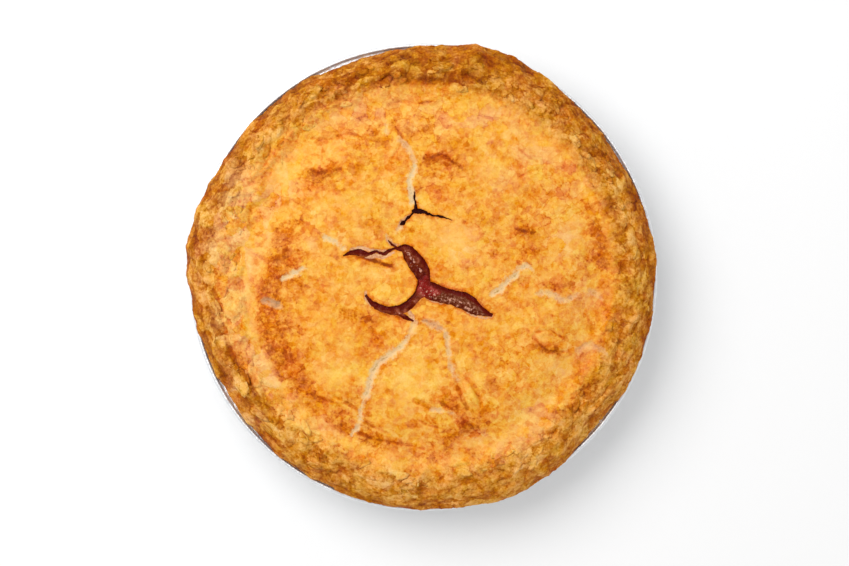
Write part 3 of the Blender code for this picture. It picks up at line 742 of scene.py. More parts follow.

# %% [markdown]
# Ovens brown unevenly. The patches below are listed one by one: a scorched ring on the left shoulder of the lid, dark
# spots where blisters touched the heat, pale dough in the moat and on the thick folds. Each patch is
# (x, y, half length, half width, bearing, strength), and a negative strength makes it paler.

# %% Browned and pale patches
SHOULDER = [
    (-77, 20, 8, 12, 0, 0.32), (-72, 11, 9, 6, 20, 0.22), (-79, 4, 5, 9, 0, 0.22), (-81, -12, 5, 10, 5, 0.20),
    (-80, -28, 6, 10, 8, 0.34), (-74, -43, 6, 11, 30, 0.26), (-62, -57, 13, 6, -45, 0.34),
    (-45, -72, 11, 5, -35, 0.02), (-29, -83, 11, 5, -20, 0.34), (-64, 27, 7, 4, 0, 0.22), (-68, 14, 6, 5, 0, 0.16),
    (-70, -8, 6, 8, 0, 0.10), (97, -32, 5, 11, -15, 0.14), (100, -18, 4, 10, 0, 0.12), (88, 27, 5, 12, 10, 0.16),
    (97, 40, 5, 9, 20, 0.16), (86, 55, 9, 5, -50, 0.16), (88, -60, 9, 5, 50, 0.18), (80, -73, 9, 4, 45, 0.16),
]
SCORCHES = [
    (-53, 54, 8, 3, 4, 0.36), (-56, 47, 10, 4, 0, 0.22), (52, 24, 6, 3, -8, 0.46), (5, 62, 14, 5, 5, 0.30),
    (6, 62.5, 11, 1.6, 2, 0.10), (15, 59, 8, 2.4, -35, 0.18), (66, -37, 9, 3.2, -5, 0.32), (62, -30, 12, 7, -20, 0.04),
    (25, -77, 12, 5, 15, 0.27), (20, -82, 14, 4, 0, 0.20), (14, -65, 6, 6, 0, 0.24), (5, -25, 7, 2, -20, 0.26),
    (-38, -20, 6, 4, -10, 0.28), (-30, -24, 7, 4, 0, 0.16), (-22, -31, 7, 5, 0, 0.20), (65, -4, 4, 2.6, 0, 0.30),
    (72, -4, 9, 5, 0, 0.14), (84, 8, 5, 9, 10, 0.16), (35, 69, 3, 2, 0, 0.26), (-10, 79, 3, 2, 0, 0.24),
    (1, 77, 3, 2, 0, 0.26), (37, 12, 3.4, 2.4, 0, 0.28), (-84, 33, 3.4, 2.4, 0, 0.24), (-82, 42, 3, 2, 0, 0.2),
    (-90, 20, 4, 2.6, 0, 0.2), (55, 14, 8, 5, 10, 0.18), (35, 12, 9, 6, 0, 0.12), (-70, 77, 9, 5, 45, 0.20),
    (-55, 92, 10, 4, 30, 0.18), (-8, 74, 16, 5, 0, 0.12), (-38, 78, 6, 3, 0, 0.14), (24, 7, 4, 3, 0, 0.16),
    (-26, 84, 8, 3, 10, 0.14), (45, 34, 6, 4, 0, 0.12), (48, 62, 7, 5, 0, 0.10), (-28, 28, 7, 5, 20, 0.12),
    (-24, 8, 8, 1.2, -22, 0.42), (-30, 10, 3, 1.0, -25, 0.3), (-17, 5.6, 2, 0.9, -20, 0.3), (38, -22, 8, 4, 0, 0.06),
    (8, -44, 9, 6, 0, 0.10), (48, -66, 9, 5, 20, 0.10), (50, -18, 8, 6, 0, 0.08), (6, -91, 11, 5, 0, 0.34),
    (72, -71, 9, 6, 40, 0.36), (93, 15, 5, 11, 5, 0.34), (88, 27, 5, 8, 10, 0.16), (-67, 4, 6, 9, 0, 0.24),
    (97, -19, 4, 9, 0, 0.30), (90, -40, 4, 9, -20, 0.22), (82, -52, 6, 5, 45, 0.16), (40, -40, 9, 9, 0, 0.16),
    (-92, -8, 4, 9, 0, 0.16), (24, 93, 13, 5, -10, 0.24), (-28, 92, 12, 4, 10, 0.22), (9, 54, 11, 4, 0, 0.20),
    (-66, -30, 8, 12, 20, 0.14), (-60, 72, 7, 7, 0, 0.16), (-28, 64, 6, 10, 0, 0.10), (2, -66, 7, 9, 0, 0.14),
    (-37, -68, 6, 8, 0, 0.10), (-38, -93, 9, 4, -15, 0.20), (35, 18, 6, 5, 0, 0.12), (52, 7, 8, 5, 0, 0.10),
    (46, -4, 6, 6, 0, 0.12), (76, 71, 13, 5, -10, 0.20), (98, 38, 6, 6, 0, 0.18), (-26, 9, 6, 0.9, -24, 0.5),
    (-18, 6.2, 2.6, 1.0, -8, 0.5), (-45, 14, 6, 5, 0, 0.10), (0, 92, 20, 3, 0, 0.12), (-77, -14, 6, 7, 0, 0.22),
    (70, -74, 7, 4, 30, 0.16), (97, -26, 4, 6, 0, 0.18), (32, -94, 6, 3, 0, 0.18), (-70, -26, 6, 7, 20, 0.10),
    (7, 26, 3, 2, 0, 0.06), (1, -22, 4, 2, 0, 0.16), (-24, 11, 5, 3, 0, 0.14), (10, -76, 5, 4, 0, 0.14),
    (44, -44, 6, 5, 0, 0.12), (34, 19, 4, 4, 0, 0.12), (26, -70, 3, 3, 0, 0.14), (33, -40, 5, 4, 0, 0.12),
    (-15, 9, 3, 3, 0, 0.12), (-4, -22, 3, 3, 0, 0.14), (-57, 42, 5, 4, 0, 0.10),
]
PALE = [
    (15, 20, 12, 9, 0, -0.24), (-50, 40, 10, 6, 0, -0.18), (-35, 36, 9, 7, 0, -0.16), (-45, -50, 9, 11, 0, -0.18),
    (-6, -56, 10, 13, 0, -0.20), (35, 55, 12, 8, 0, -0.16), (-17, 0, 11, 10, 0, -0.10), (-96, 40, 6, 10, 20, -0.26),
    (75, 22, 7, 5, 0, -0.22), (67, 12, 8, 6, 0, -0.14), (33, 91, 12, 5, -20, -0.24), (-72, 50, 9, 7, 40, -0.26),
    (-92, 14, 4, 16, 0, -0.20), (-93, -12, 4, 15, 0, -0.22), (-90, -34, 4, 14, 20, -0.18),
    (-78, -55, 5, 13, 40, -0.16), (-10, 92, 30, 5, 0, -0.12), (40, 78, 14, 8, -30, -0.12), (60, 62, 9, 9, 0, -0.10),
    (-45, 68, 12, 6, 20, -0.12), (10, -90, 14, 3, 4, -0.16), (34, -84, 8, 3, 18, -0.16), (45, -40, 10, 8, 0, -0.12),
    (-58, 17, 3, 3, 0, -0.26), (6, -10, 12, 4, -20, -0.06), (50, 42, 8, 6, 0, -0.12), (20, -10, 10, 3, 0, -0.06),
    (20, 13, 8, 8, 0, -0.20), (-80, 22, 4, 10, 0, -0.26), (-82, 8, 3, 8, 0, -0.12), (-2, 68, 7, 6, 30, -0.20),
    (-10, 76, 6, 5, 0, -0.14), (-51, -18, 6, 16, -20, -0.12), (-38, -36, 6, 8, 0, -0.12), (-33, 29, 8, 6, 0, -0.12),
    (6, 32, 14, 8, 0, -0.12), (44, -20, 9, 3, 0, -0.10), (60, -29, 4, 8, 0, -0.12), (74, -43, 4, 6, 0, -0.16),
    (26, -84, 7, 3, 0, -0.26), (-65, -84, 12, 4, -35, -0.14), (-12, -68, 4, 8, 0, -0.12), (38, 34, 6, 5, 0, -0.10),
    (-15, 66, 5, 6, 0, -0.16), (3, 66, 8, 4, 0, -0.12), (58, -31, 5, 5, 0, -0.14), (-84, -2, 4, 6, 0, -0.16),
    (74, -49, 5, 5, 0, -0.16), (24.4, -60.4, 7.5, 2.3, -61, -0.18), (21, -26, 6, 4, 0, -0.14),
    (24, 62, 4, 3, 0, -0.16), (-36, -1, 4, 6, 0, -0.14), (-81, 9, 4, 5, 0, -0.12), (-47, -67, 6, 4, -30, -0.10),
    (36, -24, 5, 3, -20, -0.12), (3, -47, 5, 5, 0, -0.13), (48, -68, 5, 4, 0, -0.13), (-27, -27, 5, 3, 0, -0.13),
    (-76, -47, 4, 4, 0, -0.10), (-23, -87, 6, 3, 0, -0.10), (32, -9, 4, 3, -30, -0.14), (-45, -26, 5, 4, 0, -0.12),
    (58, -11, 4, 4, 0, -0.12), (-65, -45, 4, 5, 0, -0.12), (-63, -64, 6, 5, 30, -0.14), (67, 1, 5, 4, 0, -0.16),
    (48, -90, 8, 4, 20, -0.14),
]
RIM_SCORCHES = [
    (-105, -48, 5, 9, 20, 0.34), (-95, -66, 9, 5, -55, 0.36), (-96, -48, 4, 13, 30, 0.26), (3, 109, 8, 5, 0, 0.30),
    (4, 117, 5, 3, 0, 0.26), (-17, 105, 8, 3.4, 8, 0.30), (-47, 99, 6, 3, 25, 0.28), (15, 111, 5, 3, 0, 0.24),
    (22, 105, 9, 3.4, -10, 0.30), (48, 107, 6, 4, -25, 0.28), (35, 108, 15, 4, -15, 0.16), (107, 0, 4, 10, 0, 0.18),
    (105, -30, 4, 10, -15, 0.18), (110, 42, 4, 9, 20, 0.20), (115, 28, 3, 8, 15, 0.20), (-53, -93, 6, 4, -30, 0.26),
    (37, -106, 14, 5, 18, 0.06), (86, 78, 8, 10, -40, 0.20), (70, 92, 9, 8, -50, 0.14), (95, 66, 8, 9, -60, 0.14),
    (-87, -63, 3, 5, 0, 0.2), (100, -62, 6, 8, -30, 0.12), (100, -50, 5, 8, -20, 0.06), (-5, 102, 36, 2.6, 0, 0.22),
    (53, 103, 6, 6, 0, 0.30), (-37, 105, 6, 4, 20, 0.28), (-5, 112, 12, 3, 0, 0.18), (96, 8, 3, 10, 0, 0.2),
    (-92, 82, 5, 8, 45, 0.16), (-62, -97, 6, 3, -30, 0.2), (-112, -20, 3, 9, 0, 0.26), (-112, 14, 4, 9, 0, 0.22),
    (102, -20, 3, 8, 0, 0.28), (103, 22, 4, 11, 10, 0.28), (-91, -54, 4, 6, 0, 0.28), (-12, 114, 6, 3, 0, 0.30),
    (-109, -22, 4, 6, 0, 0.22), (-81, -61, 5, 4, -45, 0.26), (-90, -53, 4, 4, 0, 0.24), (-65, 97, 5, 4, 0, 0.20),
    (26, 114, 6, 3, 0, 0.52), (-68, 76, 5, 4, 0, 0.20), (110, -40, 4, 5, 0, 0.18), (31, -95, 6, 3, 0, 0.18),
    (-84, 82, 5, 4, 0, 0.16), (-14, 113, 7, 3, 0, 0.20), (-90, -54, 4, 4, 0, 0.16), (-81, -61, 4, 4, 0, 0.18),
    (-48, -88, 7, 4, -30, 0.14), (-88, 71, 4, 4, 0, 0.14), (5, 117, 6, 3, 0, 0.14), (-28, -111, 7, 3, -15, 0.14),
    (-77, -65, 5, 4, -45, 0.16), (10, -96, 7, 3, 0, 0.16), (101, -2, 4, 5, 0, 0.16), (-29, 92, 6, 4, 0, 0.14),
    (110, -41, 4, 5, 0, 0.14), (26, -113, 6, 3, 0, 0.14), (-54, 84, 5, 4, 0, 0.12), (16, 96, 6, 4, 0, 0.12),
    (-61, 73, 4, 4, 0, 0.14), (85, 52, 4, 4, 0, 0.14), (-92, -52, 4, 4, 0, 0.12), (-14, 116, 6, 3, 0, 0.20),
    (30, 112, 6, 4, 0, 0.18), (26, -113, 6, 4, 0, 0.14), (-66, 96, 5, 4, 0, 0.16), (-80, -81, 5, 4, 45, 0.16),
    (-86, -53, 3, 5, 30, 0.12), (88, 76, 4, 4, 0, 0.12), (35, -110, 6, 4, 0, 0.16), (82, -82, 5, 4, 45, 0.16),
    (30, 112, 5, 3, 0, 0.14), (71, -70, 4, 4, 0, 0.12), (-91, 72, 4, 4, 0, 0.12),
]
RIM_PALE = [
    (-105, 20, 7, 14, 0, -0.22), (-110, 6, 6, 10, 0, -0.18), (-75, 88, 8, 6, 40, -0.10), (-100, 52, 7, 12, 30, -0.20),
    (-113, -8, 3, 8, 10, -0.22), (-106, -36, 3, 7, 20, -0.18), (-98, -58, 3, 6, 35, -0.28), (103, 45, 3, 5, 0, -0.22),
    (108, 22, 3, 5, 0, -0.24), (113, -1, 3, 5, 0, -0.26), (112, -20, 3, 6, 0, -0.24), (104, -25, 3, 5, 0, -0.2),
    (-76, -80, 8, 6, -40, -0.12), (-85, 68, 8, 7, 40, -0.14), (-115, 30, 4, 10, 10, -0.10), (0, -104, 12, 4, 0, -0.10),
    (-104, -26, 6, 12, 10, -0.26), (-101, -60, 7, 8, 0, -0.40), (-91, -75, 8, 6, 45, -0.20),
    (-92, 58, 8, 10, 0, -0.14), (92, -67, 8, 6, 0, -0.34), (22, -115, 9, 4, 0, -0.38), (50, -99, 6, 4, 0, -0.18),
    (109, 10, 4, 8, 0, -0.20), (105, 32, 6, 8, 0, -0.18), (-40, -107, 12, 5, -30, -0.20), (-15, -110, 8, 5, 0, -0.20),
    (110, -40, 6, 9, 0, -0.22), (20, 112, 8, 5, 0, -0.16), (41, 100, 5, 7, 0, -0.26), (84, -84, 8, 6, 45, -0.26),
    (50, -94, 8, 6, 20, -0.26), (-32, -102, 9, 5, -15, -0.30), (68, -82, 9, 5, 40, -0.30), (40, -110, 9, 4, 20, -0.26),
    (-6, -115, 10, 4, 0, -0.24), (-24, 105, 6, 3, 0, -0.20), (64, 98, 7, 5, -45, -0.22), (95, 68, 5, 8, 30, -0.22),
    (-60, -88, 8, 4, -35, -0.2), (-104, -45, 4, 6, 0, -0.2), (58, -104, 8, 4, 30, -0.14), (82, -82, 9, 5, -45, -0.28),
    (49, -94, 7, 4, 20, -0.2), (-62, 88, 7, 5, 40, -0.26), (98, -49, 5, 6, 0, -0.28), (-111, 36, 4, 7, 0, -0.26),
    (-36, -111, 9, 4, -20, -0.24), (-27, 113, 5, 4, 0, -0.24), (30, -114, 12, 4, 10, -0.16),
    (-53, 104, 6, 4, 30, -0.22), (70, -83, 6, 4, 40, -0.20), (-2, -106, 8, 4, 0, -0.20), (-93, 33, 5, 5, 0, -0.20),
    (-101, -44, 4, 5, 0, -0.20), (-116, -14, 3, 6, 0, -0.20), (52, 90, 6, 4, 0, -0.20), (-44, 99, 6, 3, 0, -0.16),
    (116, 8, 3, 6, 0, -0.20), (-103, 0, 4, 5, 0, -0.16), (99, 61, 4, 4, 0, -0.14), (-38, -101, 6, 4, -20, -0.16),
    (-111, -12, 4, 5, 0, -0.14), (-100, 11, 4, 5, 0, -0.14), (-101, -44, 3, 5, 0, -0.12), (-90, -38, 4, 5, 0, -0.16),
    (-112, -11, 4, 5, 0, -0.20), (-6, -106, 8, 3, 0, -0.28), (-112, -28, 4, 5, 0, -0.16),
]
# How much browner the very edge of the rim is, for each bearing.
EDGE_TOAST = [(0, 0.18), (45, 0.14), (90, 0.20), (150, 0.22), (200, 0.20), (240, 0.12), (330, 0.10)]
# The shoulder is scorched along this stroke, which ends sharply on its outer side.
SHOULDER_BAND = [(-64, 30, 1.5), (-72, 22, 5), (-76, 11, 7.5), (-77.5, 0, 7.5), (-80, -13, 5.5), (-80, -28, 6),
                 (-74, -42, 7), (-64, -56, 7.5), (-49, -69, 6), (-33, -80, 5), (-19, -86, 3), (-8, -87, 1)]
TOP_BAND = [(-46, 92, 0.8), (-34, 97.6, 1.8), (-18, 102.2, 2.8), (0, 103.6, 3.2), (18, 102, 2.8), (33, 98, 2.0),
            (44, 92, 0.8)]


def patches_of(ovals):
    """Sum of the ovals, each as strong as its last number says."""
    return sum(oval[-1] * patch(lid_places, *oval[:-1]) for oval in ovals)


toast = (0.45 * patches_of(SHOULDER) + patches_of(SCORCHES + PALE)) * (1 - 0.75 * craggy)
toast += 0.7 * patches_of(RIM_SCORCHES + RIM_PALE)
for band, strength, softness in ((SHOULDER_BAND, 0.18, 2.0), (TOP_BAND, 0.13, 1.4)):
    away = line_distance(lid_places, band) + 1.6 * bumps(lid_places, 5, 4.9) + 1.0 * bumps(lid_places, 2, 6.3)
    toast += strength * ease(softness / 2, -softness / 2, away)
toast += by_bearing(EDGE_TOAST) * ease(108, EDGE_RADIUS, reach)
toast -= 0.03 * ease(86, 90, reach) * (1 - ease(94, 98, reach))  # the moat is a touch paler
# Floury dough, less yellow than the rest, in the moat, on the rim and in a few places on the lid.
FLOURY = [
    (-92, 14, 8, 20, 0, 0.7), (-94, -16, 4, 16, 0, 0.5), (-87, -40, 6, 14, 25, 1.0), (-76, -58, 6, 15, 42, 0.8),
    (-107, 12, 9, 26, 0, 0.7), (-96, 44, 9, 16, 25, 0.8), (-74, 50, 9, 9, 40, 0.7), (-40, 84, 26, 8, 25, 0.5),
    (0, 84, 34, 9, 0, 0.5), (34, 80, 20, 9, -20, 0.6), (-50, -80, 16, 7, -32, 0.6), (0, -96, 26, 7, 0, 0.4),
    (75, 22, 8, 6, 0, 0.8), (67, 12, 8, 6, 0, 0.5), (-58, 17, 4, 4, 0, 0.6), (45, -88, 16, 6, 28, 0.5),
    (-81, 22, 6, 9, 0, 0.6), (28, 61, 7, 6, 0, 0.7), (-77, 40, 7, 7, 0, 0.7), (72, -48, 7, 5, 0, 0.7),
    (29, -82, 9, 4, 15, 0.8), (56, -68, 8, 6, 0, 0.7), (41, 49, 8, 7, 0, 0.6), (-99, 26, 5, 8, 0, 0.6),
    (20, 14, 9, 8, 0, 0.7), (70, -11, 14, 6, 0, 0.2), (69, 16, 5, 5, 0, 0.4), (88, -38, 10, 6, 0, 0.6),
    (60, 62, 14, 10, -40, 0.6), (-104, -30, 6, 12, 10, 0.5), (-100, -60, 8, 10, 0, 0.8), (-90, -74, 9, 7, 45, 0.6),
    (82, 46, 8, 14, 20, 0.4), (84, -8, 8, 20, 0, 0.4), (60, -76, 16, 8, 40, 0.4),
]
noted(skin, "toast", toast)
noted(skin, "floury", np.clip(patches_of(FLOURY), 0, 1))
patch_count = sum(len(ovals) for ovals in (SHOULDER, SCORCHES, PALE, RIM_SCORCHES, RIM_PALE, FLOURY))
print(f"{patch_count} patches, toast {toast.min():.2f} to {toast.max():.2f}")

# %% [markdown]
# ## Mixing finishes
# A finish is a small graph of nodes. Written out in full it takes pages, so these helpers each place one node and
# wire it. Colours are given as they look in this light, from 0 to 255, because that is how a cook would name them;
# dividing by the light gives the paint.

# %% Helpers for shader nodes
LIGHT_LEVEL = 1.0  # what the lamp and the room together add up to on a flat white surface
SHEEN_LEVEL = 0.005  # white that the surface mirrors, whatever its paint


def seen(red, green, blue):
    """Paint that looks like this colour on the lid of the pie."""
    linear = [c / 255 / 12.92 if c <= 10 else ((c / 255 + 0.055) / 1.055) ** 2.4 for c in (red, green, blue)]
    return (*[min(1.0, max(0.001, (c - SHEEN_LEVEL) / LIGHT_LEVEL)) for c in linear], 1.0)


def new_finish(name):
    """A new material, its nodes, and its shader."""
    material = bpy.data.materials.new(name)
    material.use_nodes = True
    return material, material.node_tree, material.node_tree.nodes["Principled BSDF"]


def node(tree, kind, inputs=None, **settings):
    """One node, its inputs set or wired, and its settings."""
    made = tree.nodes.new(kind)
    for key, value in settings.items():
        setattr(made, key, value)
    for key, value in (inputs or {}).items():
        if isinstance(value, bpy.types.NodeSocket):
            tree.links.new(value, made.inputs[key])
        else:
            made.inputs[key].default_value = value
    return made


def calc(tree, operation, *values):
    return node(tree, "ShaderNodeMath", dict(enumerate(values)), operation=operation).outputs[0]


def vector(tree, operation, first, second=None, scale=None):
    """Vector arithmetic: first with second, or first times scale. LENGTH gives a number."""
    inputs = {key: value for key, value in ((0, first), (1, second), ("Scale", scale)) if value is not None}
    made = node(tree, "ShaderNodeVectorMath", inputs, operation=operation)
    return made.outputs["Value" if operation == "LENGTH" else 0]


def attribute(tree, name):
    return node(tree, "ShaderNodeAttribute", attribute_name=name).outputs["Fac"]


def speckle(tree, size, detail=3.0, roughness=0.5, shift=0.0, distortion=0.0, stretch=(1, 1, 1)):
    """Noise with bumps about size millimetres across, in the object's own coordinates."""
    here = node(tree, "ShaderNodeTexCoord").outputs["Object"]
    scale = [s / (size * MM) for s in stretch]
    place = node(tree, "ShaderNodeMapping", {"Vector": here, "Location": (shift, -shift, shift), "Scale": scale})
    settings = {"Vector": place.outputs[0], "Scale": 1.0, "Detail": detail, "Roughness": roughness,
                "Distortion": distortion}
    return node(tree, "ShaderNodeTexNoise", settings).outputs["Fac"]


def sharpen(tree, value, low, high, start=0.0, end=1.0):
    """Turns the range from low to high into a mask with a soft edge."""
    settings = {"Value": value, "From Min": low, "From Max": high, "To Min": start, "To Max": end}
    return node(tree, "ShaderNodeMapRange", settings, interpolation_type="SMOOTHSTEP").outputs["Result"]


def scaled(tree, value, low, high, start, end):
    settings = {"Value": value, "From Min": low, "From Max": high, "To Min": start, "To Max": end}
    return node(tree, "ShaderNodeMapRange", settings, clamp=False).outputs["Result"]


def swing(tree, number, swing_to):
    """Turns a random number from 0 to 1 into one from -swing_to to swing_to."""
    return scaled(tree, number, 0, 1, -swing_to, swing_to)


def above_half(tree, noise_value, strength, base=0.0):
    """Noise hovers about a half: this centres it on base, and gives its upper half this strength."""
    return scaled(tree, noise_value, 0.5, 1.0, base, base + strength)


def colours(tree, value, stops):
    """A ramp from (position, colour) pairs."""
    ramp = node(tree, "ShaderNodeValToRGB", {"Fac": value})
    while len(ramp.color_ramp.elements) < len(stops):
        ramp.color_ramp.elements.new(0.5)
    for element, (position, colour) in zip(ramp.color_ramp.elements, stops):
        element.position = position
        element.color = seen(*colour)
    return ramp.outputs["Color"]


def layer(tree, mask, under, over):
    """Colour over on colour under, where the mask is 1."""
    inputs = {0: mask, 6: under, 7: over}
    return node(tree, "ShaderNodeMix", inputs, data_type="RGBA").outputs[2]


def flaked(tree, place, size, warp):
    """Settings for cells about size millimetres across, pushed about by noise so that they come out ragged."""
    bend = node(tree, "ShaderNodeTexNoise", {"Vector": place, "Scale": 1 / (1.4 * size * MM), "Detail": 4.0,
                                             "Roughness": 0.7}).outputs["Color"]
    push = vector(tree, "SCALE", vector(tree, "SUBTRACT", bend, (0.5, 0.5, 0.5)), scale=2 * warp * size * MM)
    return {"Vector": vector(tree, "ADD", place, push), "Scale": 1 / (size * MM)}


def flake_tones(tree, cells):
    """Three random numbers for each flake."""
    tint = node(tree, "ShaderNodeTexVoronoi", cells).outputs["Color"]
    return node(tree, "ShaderNodeSeparateColor", {"Color": tint}).outputs


def flake_edge(tree, cells):
    """Distance to the nearest edge of a flake."""
    return node(tree, "ShaderNodeTexVoronoi", cells, feature="DISTANCE_TO_EDGE").outputs["Distance"]


def drawn_round(tree, stretch):
    """Places in which lengths round the rim count stretch times less, so that a pattern is drawn out along it."""
    here = node(tree, "ShaderNodeTexCoord").outputs["Object"]
    axes = node(tree, "ShaderNodeSeparateXYZ", {"Vector": here}).outputs
    flat = node(tree, "ShaderNodeCombineXYZ", {"X": axes["X"], "Y": axes["Y"]}).outputs[0]
    hoop = vector(tree, "SCALE", vector(tree, "NORMALIZE", flat), scale=MEAN_RIM * MM / stretch)
    out = calc(tree, "SUBTRACT", vector(tree, "LENGTH", flat), axes["Z"])
    return vector(tree, "ADD", hoop, node(tree, "ShaderNodeCombineXYZ", {"Z": out}).outputs[0])


def wire(tree, shader, colour, roughness, height, strength, distance):
    """Wires a colour, a roughness and a bump to the shader; the bump's distance is in millimetres."""
    tree.links.new(colour, shader.inputs["Base Color"])
    tree.links.new(roughness, shader.inputs["Roughness"])
    bump = node(tree, "ShaderNodeBump", {"Strength": strength, "Distance": distance * MM, "Height": height})
    tree.links.new(bump.outputs[0], shader.inputs["Normal"])


print("helpers for finishes are ready")

# %% [markdown]
# ## Baked pastry
# Browning is one number, from pale cream at 0 to scorched at 1. The lid and the rim have a ramp each, because the
# thick rim bakes to a duller, browner gold. The number is the patches above plus mottling: noise whose small bumps
# are almost as strong as its large ones gives the soft watercolour look of an egg-washed crust.

# %% Two ramps of browning
LID_GOLD = [(-0.1, (253, 208, 122)), (0.12, (250, 196, 101)), (0.27, (247, 186, 89)), (0.40, (244, 176, 77)),
            (0.50, (240, 166, 68)), (0.60, (235, 152, 58)), (0.73, (228, 134, 46)), (0.90, (208, 110, 31)),
            (1.1, (180, 84, 13)), (1.4, (142, 58, 3))]
RIM_BROWN = [(-0.1, (247, 193, 118)), (0.12, (240, 178, 96)), (0.27, (231, 164, 78)), (0.40, (219, 149, 62)),
             (0.50, (208, 134, 48)), (0.60, (197, 120, 37)), (0.73, (183, 104, 26)), (0.90, (164, 85, 13)),
             (1.1, (142, 66, 5)), (1.4, (108, 44, 2))]
PALEST, DARKEST = -0.1, 1.4  # the ends of the two ramps
DONE = 0.52  # how toasted the lid is where no patch changes it


def by_toast(tree, value, stops):
    """The colour of pastry that is so much toasted."""
    share = scaled(tree, value, PALEST, DARKEST, 0.0, 1.0)
    return colours(tree, share, [((toasted - PALEST) / (DARKEST - PALEST), colour) for toasted, colour in stops])


def browner(tree, toasted, mask, amount):
    """Adds amount to how toasted the pastry is, where the mask is 1."""
    return calc(tree, "MULTIPLY_ADD", mask, amount, toasted)


print(f"the lid's ramp has {len(LID_GOLD)} colours and the rim's {len(RIM_BROWN)}")

# %% Browning of the lid
pastry, tree, shader = new_finish("baked_pastry")
here = node(tree, "ShaderNodeTexCoord").outputs["Object"]
patches = attribute(tree, "toast")
mottle = speckle(tree, 20, detail=9, roughness=0.80, shift=3.1, distortion=0.05)
fleck = speckle(tree, 5.0, detail=6, roughness=0.72, shift=7.3, distortion=0.2)
speck = above_half(tree, speckle(tree, 1.3, detail=2, roughness=0.6, shift=3.9), 1.0)
scales, chips = flaked(tree, here, 7.0, 0.5), flaked(tree, here, 2.6, 0.5)
scale_tone, scale_hue, scale_cream = flake_tones(tree, scales)
chip_tone, _, chip_cream = flake_tones(tree, chips)
pattern = calc(tree, "ADD", above_half(tree, mottle, 0.68), above_half(tree, fleck, 0.66))
pattern = calc(tree, "ADD", pattern, swing(tree, scale_tone, 0.09))
pattern = calc(tree, "ADD", pattern, swing(tree, chip_tone, 0.14))
# Pale dough is calmer than golden dough, and so are the middles of browned patches.
calm = sharpen(tree, patches, -0.3, 0.05, 0.5, 1.08)
calm = calc(tree, "MULTIPLY", calm, sharpen(tree, patches, 0.12, 0.34, 1.0, 0.80))
baked = calc(tree, "MULTIPLY_ADD", pattern, calm, calc(tree, "ADD", patches, DONE))
# A browned patch ends in a ragged but clear edge, and is covered in fine bubbles with paler tops.
browned = sharpen(tree, calc(tree, "ADD", patches, above_half(tree, fleck, 0.5)), 0.12, 0.22)
baked = browner(tree, baked, browned, 0.10)
baked = calc(tree, "MULTIPLY_ADD", speck, scaled(tree, browned, 0, 1, 0.18, 0.38), baked)
bubble_tone = flake_tones(tree, flaked(tree, here, 1.5, 0.3))[0]
baked = browner(tree, baked, calc(tree, "MULTIPLY", sharpen(tree, bubble_tone, 0.62, 0.8), browned), -0.18)
spots = speckle(tree, 3.0, detail=3, roughness=0.6, shift=1.7, distortion=0.4)
baked = browner(tree, baked, sharpen(tree, spots, 0.60, 0.70), 0.13)
# Fine dark lines: along the edges of scales where the lid is crazed, beside the tears, and where skin has wrinkled.
crackled = calc(tree, "ADD", attribute(tree, "crazed"), speckle(tree, 30, detail=2, shift=8.8))
craze = calc(tree, "MULTIPLY", sharpen(tree, flake_edge(tree, scales), 0.05, 0.01), sharpen(tree, crackled, 0.5, 0.7))
baked = browner(tree, baked, craze, 0.20)
baked = browner(tree, baked, sharpen(tree, attribute(tree, "tear"), 1.7, 0.1), 0.30)
wrinkled = calc(tree, "ADD", attribute(tree, "lined"), above_half(tree, fleck, 2.6))
baked = browner(tree, baked, sharpen(tree, wrinkled, 0.8, -0.5), 0.36)
print(f"browning of the lid: {len(tree.nodes)} nodes")

# %% Browning of the rim
around = drawn_round(tree, 1.5)
shards, curls = flaked(tree, around, 4.8, 0.65), flaked(tree, around, 2.2, 0.6)
shard_tone, curl_tone = flake_tones(tree, shards)[0], flake_tones(tree, curls)[0]
rim_fleck = speckle(tree, 2.2, detail=4, roughness=0.75, shift=5.9, distortion=0.3)
rim_baked = calc(tree, "ADD", patches, above_half(tree, mottle, 0.32, base=0.34))
# Painted light and shade: high crags are painted paler and low ones browner.
rim_baked = calc(tree, "ADD", rim_baked, scaled(tree, attribute(tree, "lift"), -1.2, 1.6, 0.14, -0.14))
rim_baked = calc(tree, "ADD", rim_baked, above_half(tree, rim_fleck, 0.48))
rim_baked = browner(tree, rim_baked, speck, 0.30)
rim_baked = calc(tree, "ADD", rim_baked, attribute(tree, "tint"))
rim_baked = calc(tree, "ADD", rim_baked, swing(tree, shard_tone, 0.20))
rim_baked = calc(tree, "ADD", rim_baked, swing(tree, curl_tone, 0.10))
# Partly browning, partly painted shade: the gaps between the rim's flakes are browner, where the bump also sinks them.
gaps = calc(tree, "MULTIPLY", sharpen(tree, flake_edge(tree, shards), 0.09, 0.0), sharpen(tree, fleck, 0.42, 0.56))
rim_baked = browner(tree, rim_baked, gaps, 0.16)
# Painted shade: the crevices between flakes and along the creases are browner.
rim_baked = browner(tree, rim_baked, attribute(tree, "crevice"), 0.22)
crags = attribute(tree, "craggy")
baked = node(tree, "ShaderNodeMix", {0: crags, 2: baked, 3: rim_baked}).outputs[0]
crust_colour = layer(tree, attribute(tree, "rim"), by_toast(tree, baked, LID_GOLD), by_toast(tree, baked, RIM_BROWN))
print(f"with the rim: {len(tree.nodes)} nodes")

